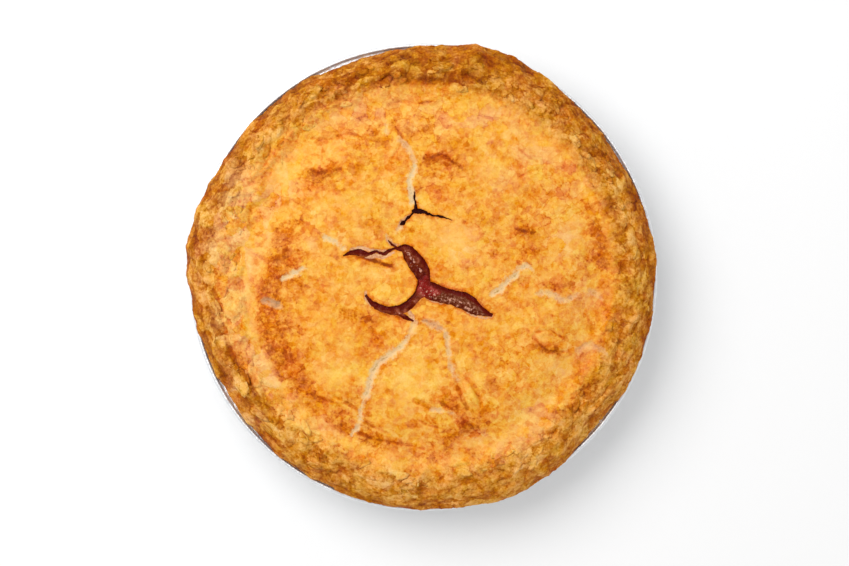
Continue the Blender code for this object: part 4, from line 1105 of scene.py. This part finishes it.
# %% Hues of the flakes
# No two flakes share quite the same hue: some are creamier, some more orange, and floury ones are paler.
tone = calc(tree, "ADD", speckle(tree, 6.5, detail=5, roughness=0.75, shift=12.4), swing(tree, chip_cream, 0.12))
warmth = calc(tree, "ADD", speckle(tree, 8.5, detail=5, roughness=0.75, shift=15.7), swing(tree, scale_hue, 0.12))
floury = calc(tree, "MULTIPLY", attribute(tree, "floury"), sharpen(tree, scale_cream, 0.35, 0.65))
fullness = calc(tree, "MULTIPLY_ADD", floury, -0.10, scaled(tree, tone, 0.3, 0.7, 0.975, 1.035))
varied = {"Hue": scaled(tree, warmth, 0.3, 0.7, 0.492, 0.509), "Saturation": fullness, "Color": crust_colour}
crust_colour = node(tree, "ShaderNodeHueSaturation", varied).outputs["Color"]
print(f"with the hues: {len(tree.nodes)} nodes")

# %% Dough in the cracks and tears
RAW_DOUGH = [(0.0, (150, 128, 84)), (0.2, (188, 166, 118)), (0.45, (230, 206, 162)), (1.0, (246, 206, 140))]
MAUVE_DOUGH = [(0.0, (178, 108, 66)), (0.4, (214, 154, 110)), (0.7, (236, 188, 142)), (1.0, (246, 212, 166))]
TORN_WALL = [(0.0, (222, 140, 60)), (0.25, (196, 108, 44)), (0.5, (146, 66, 20)), (1.0, (128, 42, 3))]
# Where the skin has split, raw dough shows: cream at the sides, grey along the bottom, with dark flecks.
fray = speckle(tree, 1.8, detail=5, roughness=0.75, shift=2.2)
frayed = calc(tree, "ADD", attribute(tree, "split"), above_half(tree, fray, 2.6))
bare = calc(tree, "MULTIPLY", sharpen(tree, frayed, 1.5, -0.5), attribute(tree, "rawness"))
raw = colours(tree, scaled(tree, frayed, -2.4, 0.8, 0.0, 1.0), RAW_DOUGH)
crust_colour = layer(tree, bare, crust_colour, raw)
# Where a tear's edge has broken away the inside is mauve. Its walls are browned at the top and juice-stained below.
broken = calc(tree, "ADD", attribute(tree, "torn"), above_half(tree, fray, 1.6))
mauve_dough = colours(tree, scaled(tree, fray, 0.3, 0.7, 0.0, 1.0), MAUVE_DOUGH)
crust_colour = layer(tree, sharpen(tree, broken, 0.5, -0.1), crust_colour, mauve_dough)
below = attribute(tree, "depth")
wall = colours(tree, scaled(tree, calc(tree, "ADD", below, above_half(tree, fray, 3.0)), 0.0, 3.2, 0.0, 1.0), TORN_WALL)
crust_colour = layer(tree, sharpen(tree, below, 0.15, 0.5), crust_colour, wall)
print(f"with the dough: {len(tree.nodes)} nodes")

# %% The pastry's gloss and grain
grain = speckle(tree, 1.1, detail=4, roughness=0.65, shift=9.2)
dimples = speckle(tree, 2.8, detail=2, roughness=0.5, shift=4.4)
surface = calc(tree, "MULTIPLY_ADD", dimples, 1.5, grain)
layers = calc(tree, "ADD", calc(tree, "MULTIPLY", shard_tone, 1.3), calc(tree, "MULTIPLY", curl_tone, 0.5))
layers = calc(tree, "MULTIPLY_ADD", gaps, -0.4, layers)
surface = calc(tree, "MULTIPLY_ADD", layers, crags, surface)
surface = calc(tree, "MULTIPLY_ADD", chip_tone, 0.5, surface)
wire(tree, shader, crust_colour, scaled(tree, fleck, 0.3, 0.7, 0.45, 0.65), surface, strength=0.6, distance=0.3)
shader.inputs["Specular IOR Level"].default_value = 0.07
skin.data.materials.clear()
skin.data.materials.append(pastry)
print(f"pastry finish: {len(tree.nodes)} nodes")

# %% [markdown]
# ## Cooked fruit
# Under the lid lies a mass of strawberries and rhubarb in dark syrup. It shows only in the tears, where it swells
# up almost to the lid. A fluid or a pile of modelled berries would be hidden work, so this is one body: a height
# for every place, raised inside the tears, with a stalk of rhubarb lying along the right arm of the tear and half a
# strawberry where the arms meet.

# %% How far inside a tear each place is
FRUIT_PITCH = 0.5
FRUIT_FIELD = 45  # the tears all lie within this radius
FRUIT_GAP = 0.9  # between the fruit and the lid's underside
FRUIT_DEPTH = 1.1  # of the swelling fruit below the lid's top
FRUIT_TOP_FROM = 37.5  # points above this height belong to the fruit's upper side


def inside_tears(places):
    """Distance from each place to the nearest side of the tear that it is in, and below nothing outside."""
    inside = -nearest_line(places, TEARS.values())
    from_flap = places[:, :2] - np.array(FLAP_CENTRE)
    away = np.hypot(from_flap[:, 0], from_flap[:, 1])
    turn = np.degrees(np.arctan2(from_flap[:, 1], from_flap[:, 0]))
    bearings, widths = np.array([tuple(p) for p in smooth_curve(FLAP_GAP, FLAP_STEP)]).T
    width = np.interp(turn, bearings[::-1], widths[::-1], left=-9, right=-9)
    return np.maximum(inside, np.minimum(away - FLAP_RADIUS, FLAP_RADIUS + width - away))


# The hidden sides and foot of the fruit: radius, height, pitch.
FRUIT_SIDES = [(102.0, 37.1, 7), (104.0, 34.4, 7), (107.0, 30.5, 7), (97.3, 15.25, 9), (90.8, 6.7, 9), (86.8, 4.3, 9),
               (43, 4.3, 12), (0, 4.3, 12)]
fruit_rings = [upper_side(r, FRUIT_PITCH) for r in np.arange(0, FRUIT_FIELD, ROW_SHARE * FRUIT_PITCH)]
fruit_rings += [upper_side(FRUIT_FIELD + 1, 1.4), *(upper_side(r, 5) for r in (49, 55, 65, 75, 84, 95))]
fruit = ringed_piece("filling", fruit_rings + FRUIT_SIDES)
fruit_places = points_of(fruit)
on_top = fruit_places[:, 2] > FRUIT_TOP_FROM
print(f"fruit: {len(fruit_places)} points, {on_top.sum()} of them on top")

# %% Where the stalk, the strawberry and the glints are
STALK = [(8, -9.0, 0.1), (12, -10.4, 0.1), (18, -12.6, 0.1), (24, -15.2, 0.1), (30, -17.8, 0.1), (34, -19.2, 0.1)]
STALK_RADIUS = 4.6
STALK_RIBS = 5  # ribs across the half of the stalk that shows
BERRY = (2.6, -5.6, 6.4)  # middle and radius
# Where highlights are painted on the syrup, as a stroke.
PAINTED_GLINTS = [(-9.4, 14.2, 0.3), (-7.6, 11.6, 0.6), (-5.6, 8.0, 0.7), (-3.4, 5.0, 0.6), (-1.0, 2.6, 0.3)]
STAR = (0, 32, 15, 11)  # middle and half size of the small star of cracks, which is painted nearly black as shade
LAMP_SHIFT = (0.7, 2.0, 0)  # the sides of a tear that the lamp can't reach are painted in shade
sunk = fruit_places[on_top] - (0, 0.4, 0)
from_stalk = line_distance(sunk, STALK)
stalk = ease(STALK_RADIUS, STALK_RADIUS - 1.6, from_stalk)
berry_away = np.hypot(sunk[:, 0] - BERRY[0], sunk[:, 1] - BERRY[1]) / BERRY[2] + 0.3 * bumps(sunk, 2.4, 9.1)
berry = ease(1.15, 0.75, berry_away)
glint = ease(1.0, -0.5, line_distance(sunk, PAINTED_GLINTS))
print(f"stalk {2 * STALK_RADIUS} mm thick, strawberry {2 * BERRY[2]} mm across")

# %% Swells and lumps
inside = inside_tears(sunk)
lit = inside_tears(sunk + LAMP_SHIFT)
swollen = ease(-1.0, -0.35, inside)
dome = ease(-0.4, 2.6, inside)
sag_and_heave = lid_relief(sunk)
under_lid = -LID_THICKNESS - FRUIT_GAP + 0.9 * sag_and_heave
lumps = 0.9 * bumps(sunk, 4.2, 2.1) + 0.6 * bumps(sunk, 2.0, 5.2) + 0.25 * bumps(sunk, 1.0, 7.9)
ribs = 0.12 * np.cos(from_stalk / STALK_RADIUS * math.pi * STALK_RIBS) + 0.10 * bumps(sunk * (1, 1, 0), 1.3, 3.7)
round_stalk = np.sqrt(np.clip(1 - (from_stalk / STALK_RADIUS) ** 2, 0, 1)) - 0.55
round_berry = np.sqrt(np.clip(1 - berry_away ** 2, 0, 1)) - 0.35
surface = lumps * (1 - 0.8 * stalk) * (1 - 0.6 * berry) + stalk * (1.1 * round_stalk + ribs) + berry * 0.9 * round_berry
raised = sag_and_heave - FRUIT_DEPTH + 0.3 * dome + (0.5 + 0.5 * dome) * np.clip(surface, -1.3, 0.75)
fruit_places[on_top, 2] += (1 - swollen) * under_lid + swollen * raised
move_points(fruit, fruit_places)
for name, mask in (("berry", berry), ("stalk", stalk * (1 - berry)), ("lit", np.clip(lit, -1, 4)),
                   ("lump", surface), ("glint", glint), ("star", ease(0.2, 0.5, patch(sunk, *STAR)))):
    values = np.zeros(len(fruit_places))
    values[on_top] = mask
    noted(fruit, name, values)
print(f"fruit top at {fruit_places[:, 2].max():.1f} mm, {len(fruit.data.polygons)} triangles")

# %% [markdown]
# The fruit's finish is wet: a low roughness, broken by small bumps. Its glints are painted highlights, pale spots on
# the lumps and along one stroke. The sides of the tears that the lamp can't reach are painted shade, and the small star
# of cracks is painted almost black. The syrup is crimson over the strawberry, and mauve and stringy over the rhubarb.

# %% The fruit's finish
SYRUP_DARK = [(0.25, (74, 18, 1)), (0.42, (94, 27, 2)), (0.56, (118, 44, 14)), (0.74, (162, 88, 64))]
RHUBARB_MAUVE = [(0.3, (80, 20, 1)), (0.46, (94, 32, 9)), (0.58, (112, 56, 32)), (0.76, (158, 104, 82))]
BERRY_CRIMSON = [(0.3, (94, 13, 4)), (0.46, (122, 24, 17)), (0.6, (146, 40, 34)), (0.8, (190, 96, 84))]
SHADOW_BROWN = [(0.0, (92, 22, 1)), (1.0, (108, 30, 1))]
HIGHLIGHT_PAINT, STAR_SHADE = (204, 148, 126), (50, 16, 1)
cooked, tree, shader = new_finish("cooked_fruit")
syrup = speckle(tree, 3.6, detail=6, roughness=0.75, shift=1.2)
dots = speckle(tree, 1.3, detail=3, roughness=0.6, shift=6.1)
lump, light, shine = attribute(tree, "lump"), attribute(tree, "lit"), attribute(tree, "glint")
lumpy = calc(tree, "ADD", syrup, scaled(tree, lump, -1, 1, -0.22, 0.22))
stringy = calc(tree, "ADD", dots, scaled(tree, lump, -1, 1, -0.2, 0.2))
fruit_colour = layer(tree, attribute(tree, "stalk"), colours(tree, lumpy, SYRUP_DARK),
                     colours(tree, stringy, RHUBARB_MAUVE))
fruit_colour = layer(tree, attribute(tree, "berry"), fruit_colour, colours(tree, lumpy, BERRY_CRIMSON))
# Painted highlights: pale spots on the lumps, more where the lamp reaches and along the stroke of glints.
painted_highlights = calc(tree, "ADD", calc(tree, "ADD", dots, scaled(tree, lump, -1, 1, -0.10, 0.10)),
                scaled(tree, light, 0, 3, -0.10, 0.05))
painted_highlights = calc(tree, "MULTIPLY_ADD", shine, 0.17, painted_highlights)
fruit_colour = layer(tree, sharpen(tree, painted_highlights, 0.66, 0.74), fruit_colour, seen(*HIGHLIGHT_PAINT))
# Painted shade: dark brown along the sides of the tears that the lamp can't reach, less of it along the glints.
shadowed = sharpen(tree, calc(tree, "ADD", light, above_half(tree, syrup, 2.8)), 1.7, -0.2)
shadowed = calc(tree, "MULTIPLY", shadowed, scaled(tree, shine, 0, 1, 1.0, 0.35))
gloom = colours(tree, scaled(tree, light, -0.8, 1.4, 0.0, 1.0), SHADOW_BROWN)
fruit_colour = layer(tree, shadowed, fruit_colour, gloom)
# Painted shade: the small star of cracks is painted almost black.
fruit_colour = layer(tree, attribute(tree, "star"), fruit_colour, seen(*STAR_SHADE))
wet = calc(tree, "MULTIPLY_ADD", speckle(tree, 1.8, detail=3, shift=8.3), 1.6, dots)
wire(tree, shader, fruit_colour, scaled(tree, dots, 0.3, 0.7, 0.12, 0.4), wet, strength=0.8, distance=0.5)
shader.inputs["Specular IOR Level"].default_value = 0.05
shader.inputs["Coat Weight"].default_value = 0.04
shader.inputs["Coat Roughness"].default_value = 0.1
fruit.data.materials.append(cooked)
print(f"fruit finish: {len(tree.nodes)} nodes")

# %% [markdown]
# ## The foil tin
# A foil dish is pressed from a flat sheet: its floor is flat, its wall flares, and its edge is rolled into a bead
# that stiffens it. Pressing leaves the wall and flange full of small pleats. A lathe tool could turn it, but then
# the pleats would be sculpted by hand. This tree of Geometry Nodes sweeps the section round a circle and pleats it
# by the bearing of each point, so one section and a few numbers make the whole dish.

# %% The section of the tin
FOIL = 0.5
BASE_RADIUS = 91.5
MOUTH_RADIUS = 111.0
BEAD_RADIUS = 1.15
FOLD_RADIUS = 2.4  # of the fold between floor and wall
BEAD_OPENING = 20  # half the angle at which the bead opens towards the flange


def arc(centre, radius, start, end, pieces):
    """Points on an arc of the section, its angles in degrees."""
    angles = np.radians(np.linspace(start, end, pieces + 1))
    return [(centre[0] + radius * math.cos(a), centre[1] + radius * math.sin(a)) for a in angles]


def run(start, end, pieces):
    """Points along a straight stretch, without its last."""
    return [tuple(np.array(start) + (np.array(end) - np.array(start)) * k / pieces) for k in range(pieces)]


def wall_radius(height):
    return BASE_RADIUS + (MOUTH_RADIUS - BASE_RADIUS) * (height - FOIL) / (FLANGE_TOP - FOIL)


slope = math.degrees(math.atan2(MOUTH_RADIUS - BASE_RADIUS, FLANGE_TOP - FOIL))
fold = (wall_radius(FOLD_RADIUS) - FOLD_RADIUS, FOIL + FOLD_RADIUS)
bead = (RIM_RADIUS - BEAD_RADIUS, FLANGE_TOP - FOIL / 2)
inner_fold = arc(fold, FOLD_RADIUS, -90, -slope, 6)
outer_fold = arc(fold, FOLD_RADIUS + FOIL, -slope, -90, 6)
rolled = arc(bead, BEAD_RADIUS, 180 - BEAD_OPENING, BEAD_OPENING - 180, 18)
mouth_in, mouth_out = (MOUTH_RADIUS, FLANGE_TOP), (MOUTH_RADIUS + FOIL, FLANGE_TOP - FOIL)
section = [
    *run((0, FOIL), inner_fold[0], 10), *inner_fold[:-1], *run(inner_fold[-1], mouth_in, 12),
    *run(mouth_in, rolled[0], 8), *rolled[:-1], *run(rolled[-1], mouth_out, 8),
    *run(mouth_out, outer_fold[0], 12), *outer_fold[:-1], *run(outer_fold[-1], (0, 0), 10), (0, 0),
]
print(f"tin section of {len(section)} points")

# %% [markdown]
# The tree takes the section as a chain of edges. The rail is a small circle, and the section is drawn that much
# nearer to the axis, so that the sweep puts it back at its true radius.


# %% The tree that turns and pleats
def new_tree(name, sizes):
    """A Geometry Nodes tree with a geometry input, named inputs of the kinds of the given values, and a geometry
    output.
    """
    tree = bpy.data.node_groups.new(name, "GeometryNodeTree")
    tree.interface.new_socket("Geometry", in_out="INPUT", socket_type="NodeSocketGeometry")
    tree.interface.new_socket("Geometry", in_out="OUTPUT", socket_type="NodeSocketGeometry")
    kinds = {int: "NodeSocketInt", float: "NodeSocketFloat", bpy.types.Material: "NodeSocketMaterial",
             bpy.types.Object: "NodeSocketObject", bpy.types.Collection: "NodeSocketCollection"}
    for label, value in sizes.items():
        tree.interface.new_socket(label, in_out="INPUT", socket_type=kinds[type(value)])
    return tree, tree.nodes.new("NodeGroupInput").outputs, tree.nodes.new("NodeGroupOutput").inputs


def grow(obj, tree, sizes):
    """Runs the tree on an object with these inputs, and keeps the result as a plain mesh."""
    modifier = obj.modifiers.new(tree.name, "NODES")
    modifier.node_group = tree
    for item in tree.interface.items_tree:
        if item.in_out == "INPUT" and item.name in sizes:
            modifier[item.identifier] = sizes[item.name]
    obj.update_tag()
    grown = bpy.data.meshes.new_from_object(obj.evaluated_get(bpy.context.evaluated_depsgraph_get()))
    obj.modifiers.clear()
    obj.data = grown
    return obj


def geo(tree, kind, inputs=None, **settings):
    return node(tree, kind, inputs, **settings).outputs


def end_tree(tree, geometry, material, output):
    """Ends a tree: instances made real, and the material set."""
    real = geo(tree, "GeometryNodeRealizeInstances", {"Geometry": geometry})[0]
    smooth = geo(tree, "GeometryNodeSetShadeSmooth", {"Geometry": real})[0]
    tree.links.new(geo(tree, "GeometryNodeSetMaterial", {"Geometry": smooth, "Material": material})[0], output)


RAIL_RADIUS = 40.0 * MM
WELD = 0.02 * MM  # points nearer than this become one, which closes the middle of the floor
WANDER_SCALE, DENT_SCALE = 60.0, 40.0  # noise bumps in a metre
PLEAT_WANDER = 9.0  # how unevenly the pleats are spaced
FULL_FROM, FULL_TO = 113.5 * MM, 117.5 * MM  # between these radii the flange is pleated in full
FULL_FOOT, FULL_TOP = 8 * MM, 24 * MM  # between these heights the wall is
tin_sizes = {"Segments": 360, "Rail": RAIL_RADIUS, "Pleats": 150, "Pleat Depth": 0.22 * MM, "Dent Depth": 0.35 * MM,
             "Flange From": MOUTH_RADIUS * MM, "Flange To": (RIM_RADIUS - 2.4 * BEAD_RADIUS) * MM,
             "Wall Foot": 3.5 * MM, "Wall Top": FLANGE_TOP * MM}
foil_material, foil_tree, foil_shader = new_finish("pressed_foil")
tin_sizes["Foil"] = foil_material
tree, given, result = new_tree("turned_foil", tin_sizes)
line = geo(tree, "GeometryNodeMeshToCurve", {"Mesh": given["Geometry"]})[0]
rail = geo(tree, "GeometryNodeCurvePrimitiveCircle", {"Resolution": given["Segments"], "Radius": given["Rail"]})[0]
swept = geo(tree, "GeometryNodeCurveToMesh", {"Curve": rail, "Profile Curve": line})[0]
swept = geo(tree, "GeometryNodeMergeByDistance", {"Geometry": swept, "Distance": WELD})[0]
place = geo(tree, "GeometryNodeInputPosition")[0]
axes = geo(tree, "ShaderNodeSeparateXYZ", {"Vector": place})
flat = geo(tree, "ShaderNodeCombineXYZ", {"X": axes["X"], "Y": axes["Y"]})[0]
radius = vector(tree, "LENGTH", flat)
turn = calc(tree, "ARCTAN2", axes["Y"], axes["X"])
wander_noise = geo(tree, "ShaderNodeTexNoise", {"Vector": place, "Scale": WANDER_SCALE, "Detail": 3.0})["Fac"]
wandering = calc(tree, "MULTIPLY", wander_noise, PLEAT_WANDER)
wave = calc(tree, "SINE", calc(tree, "MULTIPLY_ADD", turn, given["Pleats"], wandering))
on_flange = calc(tree, "MULTIPLY", sharpen(tree, radius, given["Flange From"], FULL_FROM),
                 sharpen(tree, radius, given["Flange To"], FULL_TO))
on_wall = calc(tree, "MULTIPLY", sharpen(tree, axes["Z"], given["Wall Foot"], FULL_FOOT),
               sharpen(tree, axes["Z"], given["Wall Top"], FULL_TOP))
lift_pleat, push_pleat = (calc(tree, "MULTIPLY", calc(tree, "MULTIPLY", wave, where), given["Pleat Depth"])
                          for where in (on_flange, on_wall))
dent_noise = geo(tree, "ShaderNodeTexNoise", {"Vector": place, "Scale": DENT_SCALE, "Detail": 2.0})["Fac"]
dent = calc(tree, "MULTIPLY", scaled(tree, dent_noise, 0.3, 0.7, -1.0, 1.0), on_wall)
push = calc(tree, "MULTIPLY_ADD", dent, given["Dent Depth"], push_pleat)
sideways = vector(tree, "SCALE", vector(tree, "NORMALIZE", flat), scale=push)
offset = vector(tree, "ADD", sideways, geo(tree, "ShaderNodeCombineXYZ", {"Z": lift_pleat})[0])
pleated = geo(tree, "GeometryNodeSetPosition", {"Geometry": swept, "Offset": offset})[0]
end_tree(tree, pleated, given["Foil"], result[0])

chain = bpy.data.meshes.new("tin")
points = [(r * MM - RAIL_RADIUS, -z * MM, 0) for r, z in section]
chain.from_pydata(points, [(k, k + 1) for k in range(len(points) - 1)], [])
tin = grow(put("tin", chain), tree, tin_sizes)
tin_places = points_of(tin)
print("tin from", np.round(tin_places.min(axis=0) / MM, 1), "to", np.round(tin_places.max(axis=0) / MM, 1),
      f"{len(tin.data.polygons)} faces")

# %% [markdown]
# Foil is bright, but never a mirror: rolling leaves fine straight lines in the sheet, and handling leaves small
# wrinkles. The lines only change how rough it is; the wrinkles tilt the surface, so that it sparkles along the rim.

# %% The foil's finish
tree, shader = foil_tree, foil_shader
rolled_lines = speckle(tree, 0.5, detail=3, roughness=0.7, shift=2.7, stretch=(0.02, 1, 1))
wrinkles = speckle(tree, 3.0, detail=4, roughness=0.6, shift=5.3, distortion=0.6)
creased = speckle(tree, 1.1, detail=2, roughness=0.6, shift=9.6, distortion=0.8)
silver = colours(tree, wrinkles, [(0.3, (232, 234, 237)), (0.7, (250, 251, 252))])
height = calc(tree, "MULTIPLY_ADD", wrinkles, 2.0, calc(tree, "MULTIPLY_ADD", rolled_lines, 0.15, creased))
wire(tree, shader, silver, scaled(tree, rolled_lines, 0.3, 0.7, 0.30, 0.50), height, strength=0.5, distance=0.4)
shader.inputs["Metallic"].default_value = 0.85
print(f"foil finish: {len(tree.nodes)} nodes")

# %% [markdown]
# ## Loose flakes
# The rim of a butter crust sheds thin curled flakes that lie in each other's way. They could be placed one by one.
# Instead there are a few kinds of flake, each a thin closed shell with a curl, and a tree scatters them where the
# rim is craggy. It turns them along the rim, tips each a little, and gives each its own tint.

# %% A few kinds of flake
FLAKE_KINDS = 6
FLAKE_CORNERS = 8
FLAKE_LENGTH, FLAKE_WIDTH, FLAKE_THICKNESS = 2.1, 1.2, 0.34
FIRST_SHAPE = 40  # seed of the first kind of flake; the others follow it


def flake_shell(name, seed):
    """A thin closed flake in metres, about FLAKE_LENGTH by FLAKE_WIDTH millimetres from its middle to its edge."""
    chance = np.random.default_rng(seed)
    corner = chance.uniform(0.72, 1.25, FLAKE_CORNERS)
    curl, cup, twist = chance.uniform(0.02, 0.11), chance.uniform(-0.04, 0.12), chance.uniform(-0.08, 0.08)
    points, triangles = [], []
    for side, drop in ((1, 0.0), (-1, FLAKE_THICKNESS)):
        for share in (0.0, 0.55, 1.0):
            for k in range(FLAKE_CORNERS if share else 1):
                turn = 2 * math.pi * k / FLAKE_CORNERS
                x = FLAKE_LENGTH * corner[k] * share * math.cos(turn)
                y = FLAKE_WIDTH * corner[k] * share * math.sin(turn)
                z = curl * x * x + cup * y * y + twist * x * y - drop * (1 - 0.7 * share)
                points.append((x * MM, y * MM, z * MM))
        base = 0 if side == 1 else 1 + 2 * FLAKE_CORNERS
        for k in range(FLAKE_CORNERS):
            j = (k + 1) % FLAKE_CORNERS
            inner, outer = base + 1, base + 1 + FLAKE_CORNERS
            for corners in ((base, inner + k, inner + j), (inner + k, outer + k, outer + j),
                            (inner + k, outer + j, inner + j)):
                triangles.append(corners if side == 1 else corners[::-1])
    top, foot = 1 + FLAKE_CORNERS, 2 + 3 * FLAKE_CORNERS
    for k in range(FLAKE_CORNERS):
        j = (k + 1) % FLAKE_CORNERS
        triangles += [(top + k, foot + k, foot + j), (top + k, foot + j, top + j)]
    mesh = bpy.data.meshes.new(name)
    mesh.from_pydata(points, [], triangles)
    mesh.materials.append(pastry)
    return bpy.data.objects.new(name, mesh)


kinds = bpy.data.collections.new("flake_kinds")
for k in range(FLAKE_KINDS):
    kinds.objects.link(flake_shell(f"flake_{k}", FIRST_SHAPE + k))

# %% Where the flakes lie
flake_sizes = {"Per Square Metre": 36000.0, "Seed": 7, "Smallest": 0.55, "Largest": 1.9, "Spin": 0.7, "Tip": 0.16,
               "Kinds": kinds, "Pastry": pastry}
CLUMP_SCALE = 70.0  # noise bumps in a metre
BARE_OUTSIDE, FULL_INSIDE = 122.5 * MM, 119.5 * MM  # distances from the middle: no flakes outside the first
BARE_BELOW, FULL_ABOVE = 31.5 * MM, 33.5 * MM  # heights: none below the first
tree, given, result = new_tree("scattered_flakes", flake_sizes)


def named(name):
    return geo(tree, "GeometryNodeInputNamedAttribute", {"Name": name}, data_type="FLOAT")[0]


place = geo(tree, "GeometryNodeInputPosition")[0]
normal_z = geo(tree, "ShaderNodeSeparateXYZ", {"Vector": geo(tree, "GeometryNodeInputNormal")[0]})["Z"]
height = geo(tree, "ShaderNodeSeparateXYZ", {"Vector": place})["Z"]
clumps = geo(tree, "ShaderNodeTexNoise", {"Scale": CLUMP_SCALE, "Detail": 2.0})["Fac"]
crowd = calc(tree, "MULTIPLY", sharpen(tree, named("craggy"), 0.5, 1.0), sharpen(tree, clumps, 0.36, 0.62))
density = calc(tree, "MULTIPLY", crowd, given["Per Square Metre"])
for mask in (sharpen(tree, normal_z, 0.25, 0.5),
             sharpen(tree, vector(tree, "LENGTH", place), BARE_OUTSIDE, FULL_INSIDE),
             sharpen(tree, height, BARE_BELOW, FULL_ABOVE)):
    density = calc(tree, "MULTIPLY", density, mask)
points, normal, turned = geo(tree, "GeometryNodeDistributePointsOnFaces",
                             {"Mesh": given["Geometry"], "Density": density, "Seed": given["Seed"]})
print(f"flakes lie within {BARE_OUTSIDE / MM:.1f} mm of the middle and above {BARE_BELOW / MM:.1f} mm")


# %% How each flake is turned, tipped and sized
def chance(low, high, shift):
    """A random number for each flake."""
    seed = calc(tree, "ADD", given["Seed"], shift)
    return geo(tree, "FunctionNodeRandomValue", {"Min": low, "Max": high, "Seed": seed}, data_type="FLOAT")["Value"]


along = vector(tree, "CROSS_PRODUCT", normal, vector(tree, "MULTIPLY", place, (1, 1, 0)))
turned = geo(tree, "FunctionNodeAlignRotationToVector", {"Rotation": turned, "Vector": along}, axis="X",
             pivot_axis="Z")[0]
wobble = geo(tree, "ShaderNodeCombineXYZ", {"X": chance(-1, 1, 1), "Y": chance(-1, 1, 2)})[0]
spin = geo(tree, "ShaderNodeCombineXYZ", {"Z": calc(tree, "MULTIPLY", chance(-1, 1, 3), given["Spin"])})[0]
wobble = vector(tree, "ADD", vector(tree, "SCALE", wobble, scale=given["Tip"]), spin)
turned = geo(tree, "FunctionNodeRotateRotation", {"Rotation": turned, "Rotate By": wobble}, rotation_space="LOCAL")[0]
size = geo(tree, "FunctionNodeRandomValue", {"Min": given["Smallest"], "Max": given["Largest"], "Seed": given["Seed"]},
           data_type="FLOAT")["Value"]
length = calc(tree, "MULTIPLY", size, chance(0.8, 1.5, 4))
scale = geo(tree, "ShaderNodeCombineXYZ", {"X": length, "Y": size, "Z": size})[0]
print(f"flakes {flake_sizes['Smallest']} to {flake_sizes['Largest']} times the size of their kind")

# %% Scatter them
shells = geo(tree, "GeometryNodeCollectionInfo", {"Collection": given["Kinds"], "Separate Children": True,
                                                  "Reset Children": True})[0]
which = geo(tree, "FunctionNodeRandomValue", {"Min": 0, "Max": FLAKE_KINDS - 1, "Seed": given["Seed"]},
            data_type="INT")["Value"]
scattered = geo(tree, "GeometryNodeInstanceOnPoints",
                {"Points": points, "Instance": shells, "Pick Instance": True, "Instance Index": which,
                 "Rotation": turned, "Scale": scale})[0]
tinted = geo(tree, "GeometryNodeStoreNamedAttribute",
             {"Geometry": scattered, "Name": "tint", "Value": chance(-0.14, 0.12, 5)},
             data_type="FLOAT", domain="INSTANCE")[0]
end_tree(tree, tinted, given["Pastry"], result[0])
rim_flakes = grow(put("rim_flakes", skin.data.copy()), tree, flake_sizes)
for shell in list(kinds.objects):
    bpy.data.objects.remove(shell)
bpy.data.collections.remove(kinds)
print(f"rim flakes: {len(rim_flakes.data.polygons)} triangles")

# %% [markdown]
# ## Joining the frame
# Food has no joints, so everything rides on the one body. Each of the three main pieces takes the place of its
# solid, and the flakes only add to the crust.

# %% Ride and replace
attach(rim_flakes, "root")
for piece, node_name, slot_name in ((skin, "crust", "pastry"), (fruit, "filling", "fruit"), (tin, "tin", "foil")):
    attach(piece, "root")
    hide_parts(node_name)
